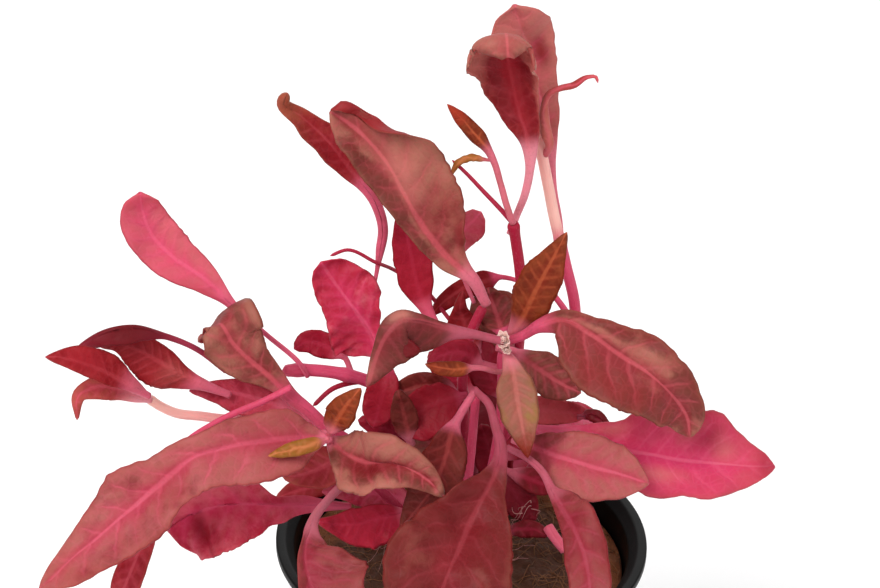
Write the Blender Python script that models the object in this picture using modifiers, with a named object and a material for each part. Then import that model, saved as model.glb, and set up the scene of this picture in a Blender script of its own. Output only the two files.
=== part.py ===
"""A potted aquarium plant: a tapered cup with a wrap and a growing plug, eight stems and the leaves on them.

Run it from Blender's text editor or with blender --background --python part.py.
Lengths here are millimetres and the scene is in metres. The origin is the middle of the cup's base,
X runs to the right of the front view, Y away from the viewer and Z up.
"""

from math import cos, pi, radians, sin

import bmesh
import bpy
import numpy as np

MM = 0.001

CUP_HEIGHT = 50.0
RIM_RADIUS = 26.0
RIM_INNER_RADIUS = 24.7
RIM_DEPTH = 1.2
WALL_TOP_RADIUS = 24.3
WALL_BASE_RADIUS = 19.3
WALL_THICKNESS = 0.8
BASE_THICKNESS = 1.2
WRAP_THICKNESS = 0.35
WRAP_TOP = 48.4
WRAP_BOTTOM = 2.0
PLUG_TOP = 46.0
PLUG_DOME = 0.4
GAP = 0.3
CUP_STEPS = 32
PLUG_STEPS = 24

LEAF_THICKNESS = 0.45
WAVES = 3.0
LIP_START = 2 / 3
STEM_POINTS = 8
FLOWER_RADIUS = 0.9
FLOWER_PLACE = (504, 337, -3.6)

# The front view that leaf and stem points are read in: columns and rows of a picture of this size.
PICTURE_COLUMNS = 880
PICTURE_ROWS = 588
RIM_COLUMN = 461.5
RIM_ROW = 537.0
VIEW_ELEVATION = radians(31.1)
VIEW_ROLL = radians(1.5)
VIEW_DISTANCE = 480.0
VIEW_FOCAL_COLUMNS = 3415.0

COLOURS = {
    "brown_leaf": (0.30, 0.095, 0.075),
    "rose_leaf": (0.46, 0.085, 0.105),
    "pink_leaf": (0.58, 0.065, 0.15),
    "crimson_leaf": (0.34, 0.02, 0.055),
    "scarlet_leaf": (0.36, 0.018, 0.03),
    "salmon_leaf": (0.50, 0.12, 0.11),
    "bronze_leaf": (0.28, 0.075, 0.025),
    "olive_leaf": (0.35, 0.18, 0.05),
    "tan_leaf": (0.42, 0.20, 0.12),
    "dark_leaf": (0.13, 0.022, 0.02),
    "stem": (0.62, 0.14, 0.19),
    "black_cup": (0.02, 0.02, 0.02),
    "pale_wrap": (0.62, 0.62, 0.62),
    "brown_plug": (0.07, 0.035, 0.014),
    "cream_flower": (0.75, 0.62, 0.52),
}
ROUGHNESS = {"black_cup": 0.45, "pale_wrap": 0.4, "brown_plug": 0.95}
LEAF_ROUGHNESS = 0.5


def view_directions():
    """Unit directions to the right, up and forward in the front view."""
    forward = np.array([0.0, cos(VIEW_ELEVATION), -sin(VIEW_ELEVATION)])
    level = np.array([1.0, 0.0, 0.0])
    rise = np.array([0.0, sin(VIEW_ELEVATION), cos(VIEW_ELEVATION)])
    right = cos(VIEW_ROLL) * level + sin(VIEW_ROLL) * rise
    up = cos(VIEW_ROLL) * rise - sin(VIEW_ROLL) * level
    return right, up, forward


RIGHT, UP, FORWARD = view_directions()


def sight(column, row):
    """The direction in which the viewer sees a point of the picture."""
    x = (column - PICTURE_COLUMNS / 2) / VIEW_FOCAL_COLUMNS
    y = (PICTURE_ROWS / 2 - row) / VIEW_FOCAL_COLUMNS
    return x * RIGHT + y * UP + FORWARD


TO_RIM = sight(RIM_COLUMN, RIM_ROW)
EYE = np.array([0.0, 0.0, CUP_HEIGHT]) - VIEW_DISTANCE * TO_RIM / np.linalg.norm(TO_RIM)


def placed(points):
    """Positions of (column, row, depth) points, with the depth as their Y."""
    found = []
    for column, row, depth in points:
        ray = sight(column, row)
        found.append(EYE + ray * (depth - EYE[1]) / ray[1])
    return np.array(found)


def even_path(points, count):
    """Evenly spaced points on the smooth curve through the given ones."""
    knots = np.concatenate([[0.0], np.cumsum(np.linalg.norm(np.diff(points, axis=0), axis=1))])
    slope = np.gradient(points, knots, axis=0)
    at = np.linspace(0.0, knots[-1], 400)
    i = np.clip(np.searchsorted(knots, at, side="right") - 1, 0, len(points) - 2)
    h = (knots[i + 1] - knots[i])[:, None]
    t = (at - knots[i])[:, None] / h
    start, end = points[i], points[i + 1]
    curve = start * (2 * t**3 - 3 * t**2 + 1) + slope[i] * h * (t**3 - 2 * t**2 + t)
    curve += end * (3 * t**2 - 2 * t**3) + slope[i + 1] * h * (t**3 - t**2)
    run = np.concatenate([[0.0], np.cumsum(np.linalg.norm(np.diff(curve, axis=0), axis=1))])
    stops = np.linspace(0.0, run[-1], count)
    return np.stack([np.interp(stops, run, curve[:, k]) for k in range(3)], axis=1)


def profile(values, at):
    """The smooth curve through evenly spaced values, which never swings past them."""
    v = np.asarray(values, float)
    if len(v) == 1:
        return np.full(len(at), v[0])
    n = len(v) - 1
    d = np.diff(v)
    slope = np.concatenate([d[:1], np.zeros(n - 1), d[-1:]])
    same = d[1:] * d[:-1] > 0
    slope[1:-1][same] = 2 * d[1:][same] * d[:-1][same] / (d[1:] + d[:-1])[same]
    i = np.clip((at * n).astype(int), 0, n - 1)
    t = at * n - i
    curve = v[i] * (2 * t**3 - 3 * t**2 + 1) + slope[i] * (t**3 - 2 * t**2 + t)
    return curve + v[i + 1] * (3 * t**2 - 2 * t**3) + slope[i + 1] * (t**3 - t**2)


def leaf(name, colour, rib, half=None, left=None, right=None, roll=(0,), fold=(12,),
         fold_right=None, curl=(0,), lip=(0,), wave=0.25, turned_over=False, rows=8, columns=2):
    """One leaf, stalk included, from its base to its tip.

    rib is the middle line as (column, row, depth). left and right are half widths along it as seen in the
    front view, and half is both. roll turns the blade about its rib, fold lifts both halves towards the
    viewer, fold_right the right one alone, curl bends them further at the edge and lip folds over the outer
    third of the right one, all in degrees.
    A leaf that is turned over keeps its face as its rib bends back, and shows its other side past the bend.
    """
    fold_right = fold_right or fold
    return dict(name=name, colour=colour, rib=rib, left=left or half, right=right or half, roll=roll,
                fold_left=fold, fold_right=fold_right, curl=curl, lip=lip, wave=wave,
                turned_over=turned_over, rows=rows, columns=columns)


def stem(name, path, base, top):
    """One stem along path, with its radius at the base and at the top."""
    return dict(name=name, path=path, base=base, top=top)


STEMS = [
    stem("right_stem", base=0.85, top=0.75, path=[
         (486, 537, 4), (520, 490, 8), (552, 425, 12), (570, 360, 14), (575, 312, 15), (565, 262, 15),
         (554, 216, 15), (548, 185, 15), (541, 150, 15), (536, 126, 15)]),
    stem("middle_stem", base=0.8, top=0.75, path=[
         (478, 530, 6), (500, 470, 6), (512, 400, 8), (519, 340, 9), (521, 285, 9), (513, 221, 9.5)]),
    stem("front_stem", base=0.75, top=0.65, path=[
         (474, 562, -3), (488, 490, -3), (500, 420, -1), (503, 350, 0)]),
    stem("crown_stem", base=0.7, top=0.6, path=[
         (462, 570, -5), (466, 500, -7), (472, 440, -6.5), (476, 396, -6)]),
    stem("rear_stem", base=0.8, top=0.7, path=[
         (460, 538, 4), (462, 480, 5), (464, 420, 5), (463, 370, 4), (472, 330, 5), (484, 305, 6)]),
    stem("left_stem", base=0.95, top=0.85, path=[
         (447, 540, 3), (430, 470, 5), (405, 410, 6), (370, 382, 5), (343, 374, 4), (304, 370, 3),
         (282, 371, 2.5)]),
    stem("outer_left_stem", base=0.7, top=0.65, path=[
         (440, 551, 0), (390, 480, 1), (320, 425, 0), (260, 418, -1), (226, 419, -2), (200, 416, -3),
         (176, 413, -4), (160, 406, -4.5), (148, 398, -5)]),
    stem("low_left_stem", base=0.75, top=0.6, path=[
         (448, 569, -5), (405, 515, -5.5), (355, 465, -6), (328, 437, -6)]),
]

LEAVES = [
    leaf("top_rear_leaf", "rose_leaf", rib=[
         (560, 224, 18), (554, 190, 18.5), (550, 150, 19), (541, 100, 19.5), (528, 50, 19), (514, 6, 16)],
         left=(0.4, 0.45, 0.6, 1.6, 2.9, 4.2, 5.0, 4.8, 2.0),
         right=(0.4, 0.45, 0.6, 1.4, 2.4, 3.0, 3.8, 4.2, 2.6)),
    leaf("top_cupped_leaf", "brown_leaf", rib=[
         (516, 217, 12), (525, 194, 11.5), (530, 165, 11.5), (528, 139, 12), (519, 108, 12.5),
         (512, 78, 12.5), (507, 51, 11), (506, 36, 8.6), (506, 34, 6.4), (507, 43, 4.8), (508, 57, 4)],
         left=(0.5, 0.55, 0.6, 1.0, 2.2, 3.4, 4.5, 6.2, 7.4, 7.4, 4.4),
         right=(0.5, 0.55, 0.6, 1.2, 2.6, 3.9, 5.0, 5.4, 6.4, 6.2, 3.6),
         fold=(0, 0, 0, 10, 12, 10, 8, 4, 0), curl=(0, 0, 0, 5, 15, 30, 45, 64, 80, 86, 80), wave=0.1,
         turned_over=True, rows=12),
    leaf("twisted_leaflet", "salmon_leaf", rib=[
         (549, 148, 13.8), (545, 126, 13.4), (544, 108, 13), (549, 94, 12.5), (561, 88, 12), (574, 85, 12),
         (588, 77, 11.5), (596, 77, 11.2), (598, 83, 11)],
         half=(0.5, 0.75, 0.75, 0.55, 0.4, 0.4, 0.45, 0.3, 0.2), rows=8, columns=1),
    leaf("bud_leaf", "bronze_leaf", rib=[
         (510, 216, 9), (501, 185, 10.5), (490, 153, 11), (468, 126, 11), (447, 104, 10.5)],
         half=(0.45, 0.45, 0.45, 0.55, 1.15, 0.95, 0.15), columns=1),
    leaf("curled_side_leaflet", "olive_leaf", rib=[
         (487, 160, 11.5), (469, 158, 11), (458, 163, 10.5), (451, 176, 10)],
         half=(0.2, 0.5, 0.45, 0.15), rows=6, columns=1),
    leaf("upper_left_leaf", "brown_leaf", rib=[
         (484, 300, 3.5), (474, 281, 3.5), (448, 258, 4), (420, 222, 5), (402, 190, 6), (388, 164, 7),
         (368, 140, 8), (347, 122, 9), (330, 112, 9)],
         left=(0.7, 1.0, 1.9, 2.3, 3.0, 3.7, 4.1, 3.6, 1.4),
         right=(0.7, 1.0, 3.4, 6.2, 7.2, 7.3, 6.8, 5.2, 2.4), fold=(10, 10, 14, 16, 18),
         lip=(0, 0, 0, 0, 0, 0, 60, 165, 165), rows=9, columns=3),
    leaf("hooked_rear_leaf", "brown_leaf", rib=[
         (371, 300, 8), (376, 276, 9.5), (380, 252, 11), (383, 230, 12), (376, 204, 13), (352, 172, 14),
         (325, 138, 14), (302, 117, 14), (284, 103, 13.5), (287, 93, 12.5)],
         left=(0.25, 0.3, 0.7, 0.75, 0.8, 1.6, 2.4, 2.3, 1.5, 0.7),
         right=(0.25, 0.3, 0.7, 0.75, 0.8, 2.4, 3.0, 1.8, 1.1, 0.6), fold=(10, 20, 30), rows=10),
    leaf("small_round_leaf", "pink_leaf", rib=[
         (472, 298, 9.5), (463, 275, 11), (458, 250, 12), (463, 231, 12.6), (474, 220, 12.9),
         (481, 212, 12.7)],
         left=(0.3, 0.3, 0.35, 1.6, 2.0, 1.0), right=(0.3, 0.3, 0.35, 2.0, 2.6, 1.0), rows=7),
    leaf("rear_scarlet_leaf", "scarlet_leaf", rib=[
         (518, 281, 10.5), (500, 277, 11), (485, 281, 11.5), (462, 289, 12), (446, 300, 12),
         (431, 315, 11.5)],
         left=(0.3, 0.35, 1.6, 1.6, 1.5, 1.2, 0.3), right=(0.3, 0.35, 1.6, 1.4, 1.3, 1.1, 0.3), rows=7),
    leaf("rear_upright_leaf", "crimson_leaf", rib=[
         (440, 332, 6), (426, 308, 8), (416, 280, 9), (411, 255, 10), (405, 225, 10.5), (402, 205, 10.5)],
         left=(0.5, 1.0, 2.4, 2.6, 1.9, 0.5), right=(0.5, 1.0, 2.4, 2.9, 2.4, 0.5)),
    leaf("rust_upright_leaf", "bronze_leaf", rib=[
         (510, 336, -1), (522, 318, -1.5), (537, 288, -2), (552, 260, -2), (567, 232, -1.5)],
         half=(0.5, 1.6, 2.9, 2.9, 1.7, 0.2)),
    leaf("brown_rear_leaf", "brown_leaf", rib=[
         (503, 334, 3.5), (497, 316, 7.6), (492, 302, 9), (488, 288, 9)],
         left=(0.6, 2.0, 2.6, 2.2, 0.5), right=(0.6, 2.2, 2.8, 2.6, 0.5), rows=6),
    leaf("paddle_leaf", "pink_leaf", rib=[
         (379, 356, 2.5), (372, 336, 3), (358, 314, 3.5), (343, 294, 4), (330, 276, 4), (321, 262, 4)],
         left=(0.6, 5.8, 5.3, 3.8, 3.2, 1.4), right=(0.6, 1.4, 3.5, 4.9, 3.9, 1.2), fold=(8,)),
    leaf("small_paddle_leaf", "crimson_leaf", rib=[
         (345, 358, 5.5), (325, 346, 6), (308, 342, 6), (294, 349, 5.5)],
         half=(0.4, 1.5, 1.9, 1.6, 0.5), rows=6),
    leaf("bent_brown_leaf", "brown_leaf", rib=[
         (498, 340, -5), (465, 332, -7), (440, 326, -8.4), (418, 321, -9.6), (401, 321, -10.6),
         (388, 333, -11.4), (378, 352, -11.9), (367, 387, -12)],
         left=(0.55, 0.6, 1.3, 3.6, 5.4, 5.0, 4.6, 2.6, 0.3),
         right=(0.55, 0.6, 0.6, 0.7, 1.2, 1.7, 1.0, 0.6, 0.3), fold=(0, -5, -18, -16, -10), rows=9),
    leaf("hanging_crimson_leaf", "crimson_leaf", rib=[
         (390, 368, 3), (385, 385, 1), (380, 404, 0), (373, 428, -1)],
         half=(0.5, 2.0, 2.5, 2.2, 0.4), rows=6),
    leaf("orange_bud", "bronze_leaf", rib=[
         (500, 372, -3), (480, 368, -5), (455, 369, -7), (440, 368, -8), (425, 364, -8.5)],
         half=(0.35, 0.35, 0.4, 1.1, 1.0, 0.2), rows=6, columns=1),
    leaf("inner_crimson_leaf", "crimson_leaf", rib=[
         (462, 396, 0), (440, 402, -1), (415, 415, -2), (396, 432, -3)],
         left=(0.5, 3.2, 4.2, 4.0, 0.6), right=(0.5, 2.6, 3.0, 2.6, 0.6), rows=6),
    leaf("pale_drooping_leaf", "tan_leaf", rib=[
         (506, 352, -3), (513, 372, -6), (517, 398, -8.5), (521, 420, -10.5), (528, 458, -12.5)],
         half=(0.5, 1.5, 2.8, 2.7, 1.6, 0.2)),
    leaf("big_right_brown_leaf", "brown_leaf", rib=[
         (508, 341, -2), (524, 335, -3.5), (541, 325, -5), (563, 320, -6), (592, 335, -7.5),
         (620, 355, -9), (648, 373, -10), (672, 395, -10.5), (687, 417, -10.5), (690, 436, -10)],
         left=(0.6, 0.7, 1.2, 2.2, 3.8, 4.6, 4.2, 2.8, 1.0),
         right=(0.6, 0.7, 1.8, 5.6, 7.0, 6.4, 5.2, 3.8, 1.0), rows=9),
    leaf("small_green_brown_leaf", "brown_leaf", rib=[
         (516, 352, 2.2), (530, 363, 1.2), (546, 374, 0.4), (562, 384, -0.4), (581, 393, -1.2)],
         half=(0.5, 1.9, 2.9, 2.9, 2.2, 0.5), rows=6),
    leaf("low_right_crimson_leaf", "crimson_leaf", rib=[
         (512, 402, 4), (535, 409, 3.2), (560, 412, 2.4), (591, 413, 1.4)],
         half=(0.5, 1.7, 2.1, 1.8, 1.4, 0.3), rows=6),
    leaf("big_right_pink_leaf", "pink_leaf", rib=[
         (520, 428, 0), (560, 432, -1.5), (590, 437, -3), (616, 447, -4), (663, 458, -5.5),
         (692, 461, -6), (721, 465, -6.5), (755, 467, -7), (775, 467, -7)],
         left=(0.6, 0.8, 1.5, 4.0, 6.6, 7.1, 7.0, 4.3, 0.9),
         right=(0.6, 0.8, 1.5, 4.0, 6.2, 5.9, 5.9, 3.4, 0.9), roll=(15, 18, 20), rows=10),
    leaf("front_right_pink_leaf", "rose_leaf", rib=[
         (518, 441, -6), (545, 452, -8), (575, 462, -10), (600, 469, -11), (625, 476, -12),
         (649, 484, -12.5)],
         left=(0.6, 2.6, 4.1, 4.4, 3.4, 0.5), right=(0.6, 2.4, 4.7, 5.0, 3.8, 0.5), roll=(10,)),
    leaf("front_right_hanging_leaf", "rose_leaf", rib=[
         (512, 450, -9), (527, 458, -10.8), (543, 473, -13.5), (553, 493, -16), (563, 511, -19),
         (577, 535, -23), (586, 562, -26), (590, 592, -29), (590, 622, -31), (587, 645, -32)],
         left=(0.45, 0.5, 0.6, 3.0, 3.7, 3.2, 3.0, 2.4, 0.3),
         right=(0.45, 0.5, 0.6, 1.0, 1.8, 2.7, 2.8, 2.2, 0.3), rows=9),
    leaf("front_centre_leaf", "brown_leaf", rib=[
         (478, 393, -9), (488, 403, -10.5), (495, 425, -12.5), (500, 447, -14), (495, 473, -16),
         (483, 497, -19), (471, 521, -22), (460, 547, -26), (446, 579, -30), (436, 612, -33),
         (430, 642, -35)],
         right=(0.5, 0.6, 0.8, 2.6, 5.2, 7.4, 9.0, 7.2, 0.4),
         left=(0.5, 0.6, 1.1, 2.5, 5.4, 7.2, 8.7, 7.0, 0.4), rows=10),
    leaf("folded_grey_leaf", "brown_leaf", rib=[
         (330, 440, -8), (345, 453, -10), (366, 462, -12.5), (396, 464, -15.5), (416, 472, -17),
         (430, 482, -18), (444, 497, -19)],
         left=(0.6, 3.4, 4.8, 4.9, 3.9, 2.2, 0.4), right=(0.6, 3.0, 5.4, 5.2, 4.2, 2.2, 0.4),
         fold=(20, 34, 38, 24)),
    leaf("dark_brown_leaf", "dark_leaf", rib=[
         (472, 396, -9), (463, 410, -10), (453, 428, -11), (446, 455, -12), (436, 482, -13),
         (418, 508, -14), (400, 528, -15)],
         half=(0.5, 0.6, 2.4, 3.3, 3.2, 2.2, 0.3)),
    leaf("front_left_leaf", "rose_leaf", rib=[
         (362, 472, -8), (344, 484, -10.5), (327, 501, -14.5), (313, 520, -18.5), (306, 541, -22),
         (305, 562, -26), (312, 588, -29), (326, 614, -32), (342, 645, -34)],
         left=(0.5, 0.6, 0.6, 0.8, 2.6, 5.8, 8.0, 5.6, 0.4),
         right=(0.5, 0.6, 0.6, 0.6, 0.7, 1.2, 2.0, 2.6, 0.4), fold=(10,), fold_right=(20, 40, 30, 20),
         rows=9),
    leaf("inner_rose_leaf", "crimson_leaf", rib=[
         (404, 512, -8), (380, 518, -9.5), (355, 524, -11), (334, 524, -12.2), (317, 521, -13.2)],
         left=(0.5, 3.2, 3.9, 3.0, 1.5, 0.3), right=(0.5, 1.8, 2.2, 2.2, 1.3, 0.3), rows=6),
    leaf("salmon_leaf", "salmon_leaf", rib=[
         (350, 478, -0.5), (323, 484, -1.2), (297, 491, -2), (276, 498, -2.2)],
         half=(0.5, 1.4, 1.7, 1.5, 0.3), rows=6),
    leaf("long_lower_left_leaf", "rose_leaf", rib=[
         (326, 439, -9), (300, 438, -10), (267, 441, -11.5), (230, 447, -13), (192, 459, -15),
         (158, 485, -17), (129, 511, -19), (99, 537, -21), (76, 556, -22.5), (56, 574, -23.5),
         (38, 592, -24.5)],
         left=(0.6, 5.4, 5.9, 5.1, 4.7, 6.0, 4.9, 3.4, 0.4),
         right=(0.6, 4.0, 3.8, 3.0, 3.6, 5.4, 3.4, 2.1, 0.4), roll=(-12,), rows=12),
    leaf("small_yellow_leaf", "olive_leaf", rib=[
         (324, 440, -12.5), (310, 445, -14), (290, 450, -14.5), (268, 456, -15)],
         half=(0.3, 1.0, 1.1, 0.8, 0.15), rows=6, columns=1),
    leaf("cupped_crimson_leaf", "pink_leaf", rib=[
         (345, 506, -3), (310, 505, -4.5), (275, 505, -6.5), (242, 504, -8), (210, 508, -9),
         (186, 518, -9.8), (168, 531, -10)],
         left=(0.5, 0.9, 1.4, 2.6, 4.5, 6.3, 7.2, 6.8, 1.6),
         right=(0.5, 0.9, 1.4, 1.2, 2.8, 4.0, 4.2, 3.0, 0.8),
         fold=(12, 12, 16, 26, 30)),
    leaf("trailing_lower_leaf", "salmon_leaf", rib=[
         (286, 390, -6), (268, 399, -6.5), (217, 422, -8), (182, 447, -9.5), (165, 480, -11),
         (151, 520, -12), (137, 556, -14), (124, 588, -16), (113, 614, -17)],
         half=(0.45, 0.45, 0.45, 0.45, 0.5, 0.8, 1.8, 2.1, 0.3), rows=8),
    leaf("arched_left_leaf", "salmon_leaf", rib=[
         (222, 368, -2), (200, 351, -3.5), (165, 336, -6), (133, 328, -8.3), (108, 332, -9.1),
         (84, 345, -9.3), (66, 366, -8.6)],
         left=(0.4, 0.4, 0.4, 0.45, 1.4, 2.3, 1.6, 0.5, 0.2),
         right=(0.4, 0.4, 0.4, 0.4, 0.4, 0.5, 0.5, 0.45, 0.2), rows=9, columns=1),
    leaf("far_left_crimson_leaf", "scarlet_leaf", rib=[
         (145, 394, -8), (120, 380, -10.5), (95, 368, -12.5), (70, 360, -13.5), (45, 357, -14)],
         left=(0.5, 1.0, 1.7, 1.6, 0.2), right=(0.5, 1.6, 2.7, 2.2, 0.2), roll=(-15,)),
    leaf("folded_left_leaf", "scarlet_leaf", rib=[
         (225, 393, -3.5), (205, 385, -4.5), (182, 374, -5.5), (160, 362, -6.5), (138, 350, -7),
         (115, 343, -7.5), (98, 346, -7.5)],
         left=(0.5, 0.9, 2.4, 3.6, 3.2, 1.6, 0.3), right=(0.5, 0.7, 1.2, 2.2, 2.4, 1.4, 0.3),
         fold=(-15,)),
    leaf("far_left_drooping_leaf", "salmon_leaf", rib=[
         (145, 399, -6), (120, 389, -8), (96, 387, -9.5), (80, 394, -10.5), (77, 420, -11)],
         left=(0.5, 1.4, 1.9, 1.0, 0.2), right=(0.5, 1.2, 1.6, 0.9, 0.2)),
    leaf("pink_upper_left_leaf", "pink_leaf", rib=[
         (300, 364, 1.2), (268, 336, 2.6), (238, 311, 3.4), (205, 279, 4), (172, 256, 4.5), (152, 235, 4.8),
         (143, 213, 4.6), (140, 193, 4)],
         left=(0.35, 0.35, 0.35, 0.7, 2.0, 3.0, 3.4, 3.5, 1.8),
         right=(0.35, 0.35, 0.35, 0.8, 1.9, 3.0, 3.8, 3.2, 1.9), rows=9),
    leaf("brown_upright_left_leaf", "brown_leaf", rib=[
         (326, 430, -5), (311, 413, -4.8), (291, 398, -4.4), (271, 378, -4), (250, 360, -3.6),
         (232, 342, -3.5), (224, 328, -3.3), (221, 325, -2.2), (212, 332, -1.3), (198, 342, -0.8)],
         left=(0.9, 0.9, 0.9, 1.0, 1.7, 2.8, 3.6, 4.0, 2.8, 1.8, 0.4),
         right=(0.9, 0.9, 1.1, 1.4, 1.9, 2.8, 3.9, 4.9, 5.2, 3.0, 0.4), turned_over=True, rows=11),
    leaf("pinkish_under_leaf", "rose_leaf", rib=[
         (312, 419, -3), (285, 408, -2.5), (258, 399, -2), (230, 392, -2), (205, 390, -2.5),
         (189, 391, -3)],
         left=(0.5, 1.0, 2.4, 2.9, 1.8, 0.3), right=(0.5, 0.8, 1.8, 2.0, 1.4, 0.3), rows=7),
    leaf("small_olive_leaf", "bronze_leaf", rib=[
         (330, 432, -9), (338, 418, -10.5), (348, 403, -11.5), (361, 388, -12)],
         half=(0.4, 1.7, 2.1, 1.5, 0.2), rows=6),
    leaf("inner_rear_leaf", "scarlet_leaf", rib=[
         (478, 350, 8), (467, 328, 8.7), (460, 307, 9), (463, 291, 9.2)],
         left=(0.5, 3.4, 2.8, 0.9, 0.3), right=(0.5, 1.6, 1.6, 1.0, 0.3), rows=6),
    leaf("rear_leaf_left", "crimson_leaf", rib=[
         (446, 470, 7.5), (447, 435, 9), (448, 400, 10.5), (446, 366, 12), (441, 340, 13.5)],
         half=(0.6, 1.8, 2.3, 2.4, 1.8, 0.4)),
    leaf("rear_leaf_middle", "crimson_leaf", rib=[
         (474, 470, 9), (472, 420, 14), (470, 380, 21), (468, 352, 29), (466, 342, 37)],
         half=(0.6, 3.4, 5.0, 4.2, 2.4, 0.4)),
    leaf("rear_leaf_right", "pink_leaf", rib=[
         (502, 480, 12), (530, 448, 16), (556, 428, 21), (580, 420, 26), (600, 425, 31)],
         half=(0.6, 2.4, 3.4, 3.2, 2.0, 0.4)),
    leaf("inner_brown_leaf", "dark_leaf", rib=[
         (458, 397, 2.2), (444, 389, 2.1), (424, 386, 1.8), (404, 391, 1.4), (388, 402, 0.9)],
         half=(0.5, 1.6, 2.0, 1.6, 0.3), rows=6, columns=1),
]


def material(name):
    """The named Principled material, made once."""
    found = bpy.data.materials.get(name)
    if found:
        return found
    made = bpy.data.materials.new(name)
    made.use_nodes = True
    shader = made.node_tree.nodes["Principled BSDF"]
    shader.inputs["Base Color"].default_value = (*COLOURS[name], 1.0)
    shader.inputs["Roughness"].default_value = ROUGHNESS.get(name, LEAF_ROUGHNESS)
    shader.inputs["Metallic"].default_value = 0.0
    made.diffuse_color = (*COLOURS[name], 1.0)
    return made


def finished(ob, colour, collection, smooth=True):
    """Links an object to the collection with its material."""
    ob.data.materials.append(material(colour))
    if smooth and ob.type == "MESH":
        ob.data.polygons.foreach_set("use_smooth", [True] * len(ob.data.polygons))
    collection.objects.link(ob)
    return ob


def carried(start, tangent):
    """A direction across the rib at each row, carried along it from the first row without twist."""
    found = [start]
    for along in tangent[1:]:
        found.append(found[-1] - np.dot(found[-1], along) * along)
    return np.array(found)


def blade_grid(entry):
    """Rows of points across the middle surface of a leaf, in millimetres."""
    rows, columns = entry["rows"], entry["columns"]
    s = np.linspace(0.0, 1.0, rows + 1)
    fine = even_path(placed(entry["rib"]), 8 * rows + 1)
    rib = fine[::8]
    tangent = np.gradient(fine, axis=0)[::8]
    tangent /= np.linalg.norm(tangent, axis=1)[:, None]
    across = np.cross(tangent, EYE - rib)
    if entry["turned_over"]:
        across = carried(across[0], tangent)
    across /= np.linalg.norm(across, axis=1)[:, None]
    facing = np.cross(across, tangent)
    roll = np.radians(profile(entry["roll"], s))[:, None]
    side = np.cos(roll) * across + np.sin(roll) * facing
    normal = np.cos(roll) * facing - np.sin(roll) * across
    widest = max(max(entry["left"]), max(entry["right"]))
    grid = np.empty((rows + 1, 2 * columns + 1, 3))
    grid[:, columns] = rib
    for sign, key in ((-1, "left"), (1, "right")):
        half = profile(entry[key], s)
        fold = np.radians(profile(entry["fold_" + key], s))
        curl = np.radians(profile(entry["curl"], s))
        lip = np.radians(profile(entry["lip"], s)) if key == "right" else 0.0
        ripple = entry["wave"] * np.sin(2 * pi * (WAVES * s + 0.2 * sign)) * half / widest
        x = np.zeros(rows + 1)
        y = np.zeros(rows + 1)
        for column in range(1, columns + 1):
            middle = (column - 0.5) / columns
            angle = fold + curl * middle + lip * (middle > LIP_START)
            x = x + np.cos(angle) * half / columns
            y = y + np.sin(angle) * half / columns
            lift = y + ripple * (column / columns) ** 2
            grid[:, columns + sign * column] = rib + sign * x[:, None] * side + lift[:, None] * normal
    return grid


def build_leaf(entry, collection):
    """A leaf as an open grid surface with thickness."""
    grid = blade_grid(entry)
    rows, columns = grid.shape[:2]
    corner = np.arange(rows * columns).reshape(rows, columns)
    faces = np.stack([corner[:-1, :-1], corner[:-1, 1:], corner[1:, 1:], corner[1:, :-1]], axis=-1)
    mesh = bpy.data.meshes.new(entry["name"])
    mesh.from_pydata((grid.reshape(-1, 3) * MM).tolist(), [], faces.reshape(-1, 4).tolist())
    ob = bpy.data.objects.new(entry["name"], mesh)
    shell = ob.modifiers.new("thickness", "SOLIDIFY")
    shell.thickness = LEAF_THICKNESS * MM
    shell.offset = 0.0
    return finished(ob, entry["colour"], collection)


def build_stem(entry, collection):
    """A stem as a round tapered tube."""
    points = even_path(placed(entry["path"]), STEM_POINTS)
    curve = bpy.data.curves.new(entry["name"], "CURVE")
    curve.dimensions = "3D"
    curve.bevel_depth = MM
    curve.bevel_resolution = 2
    curve.use_fill_caps = True
    spline = curve.splines.new("POLY")
    spline.points.add(len(points) - 1)
    radii = np.linspace(entry["base"], entry["top"], len(points))
    for spot, point, radius in zip(spline.points, points, radii):
        spot.co = (*(point * MM), 1.0)
        spot.radius = radius
    return finished(bpy.data.objects.new(entry["name"], curve), "stem", collection)


def build_turned(name, outline, steps, colour, collection):
    """A turned piece: (radius, height) points from the top down its outer side, turned about Z."""
    mesh = bpy.data.meshes.new(name)
    corners = [(radius * MM, 0.0, height * MM) for radius, height in outline]
    edges = [(i, i + 1) for i in range(len(corners) - 1)]
    if outline[0][0] > 0:
        edges.append((len(corners) - 1, 0))
    mesh.from_pydata(corners, edges, [])
    ob = bpy.data.objects.new(name, mesh)
    turn = ob.modifiers.new("turn", "SCREW")
    turn.axis = "Z"
    turn.steps = steps
    turn.render_steps = steps
    turn.use_merge_vertices = True
    turn.merge_threshold = 0.01 * MM
    turn.use_smooth_shade = True
    return finished(ob, colour, collection, smooth=False)


def wall_radius(height):
    """Outer radius of the cup's wall at a height."""
    return WALL_BASE_RADIUS + (WALL_TOP_RADIUS - WALL_BASE_RADIUS) * height / CUP_HEIGHT


def build_cup(collection):
    """The tapered cup with its flat lip, open at the top."""
    under_lip = CUP_HEIGHT - RIM_DEPTH
    outline = [
        (RIM_INNER_RADIUS, CUP_HEIGHT),
        (RIM_RADIUS, CUP_HEIGHT),
        (RIM_RADIUS, under_lip),
        (wall_radius(under_lip), under_lip),
        (WALL_BASE_RADIUS, 0.0),
        (0.0, 0.0),
        (0.0, BASE_THICKNESS),
        (wall_radius(BASE_THICKNESS) - WALL_THICKNESS, BASE_THICKNESS),
        (wall_radius(under_lip) - WALL_THICKNESS, under_lip),
    ]
    return build_turned("cup", outline, CUP_STEPS, "black_cup", collection)


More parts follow.
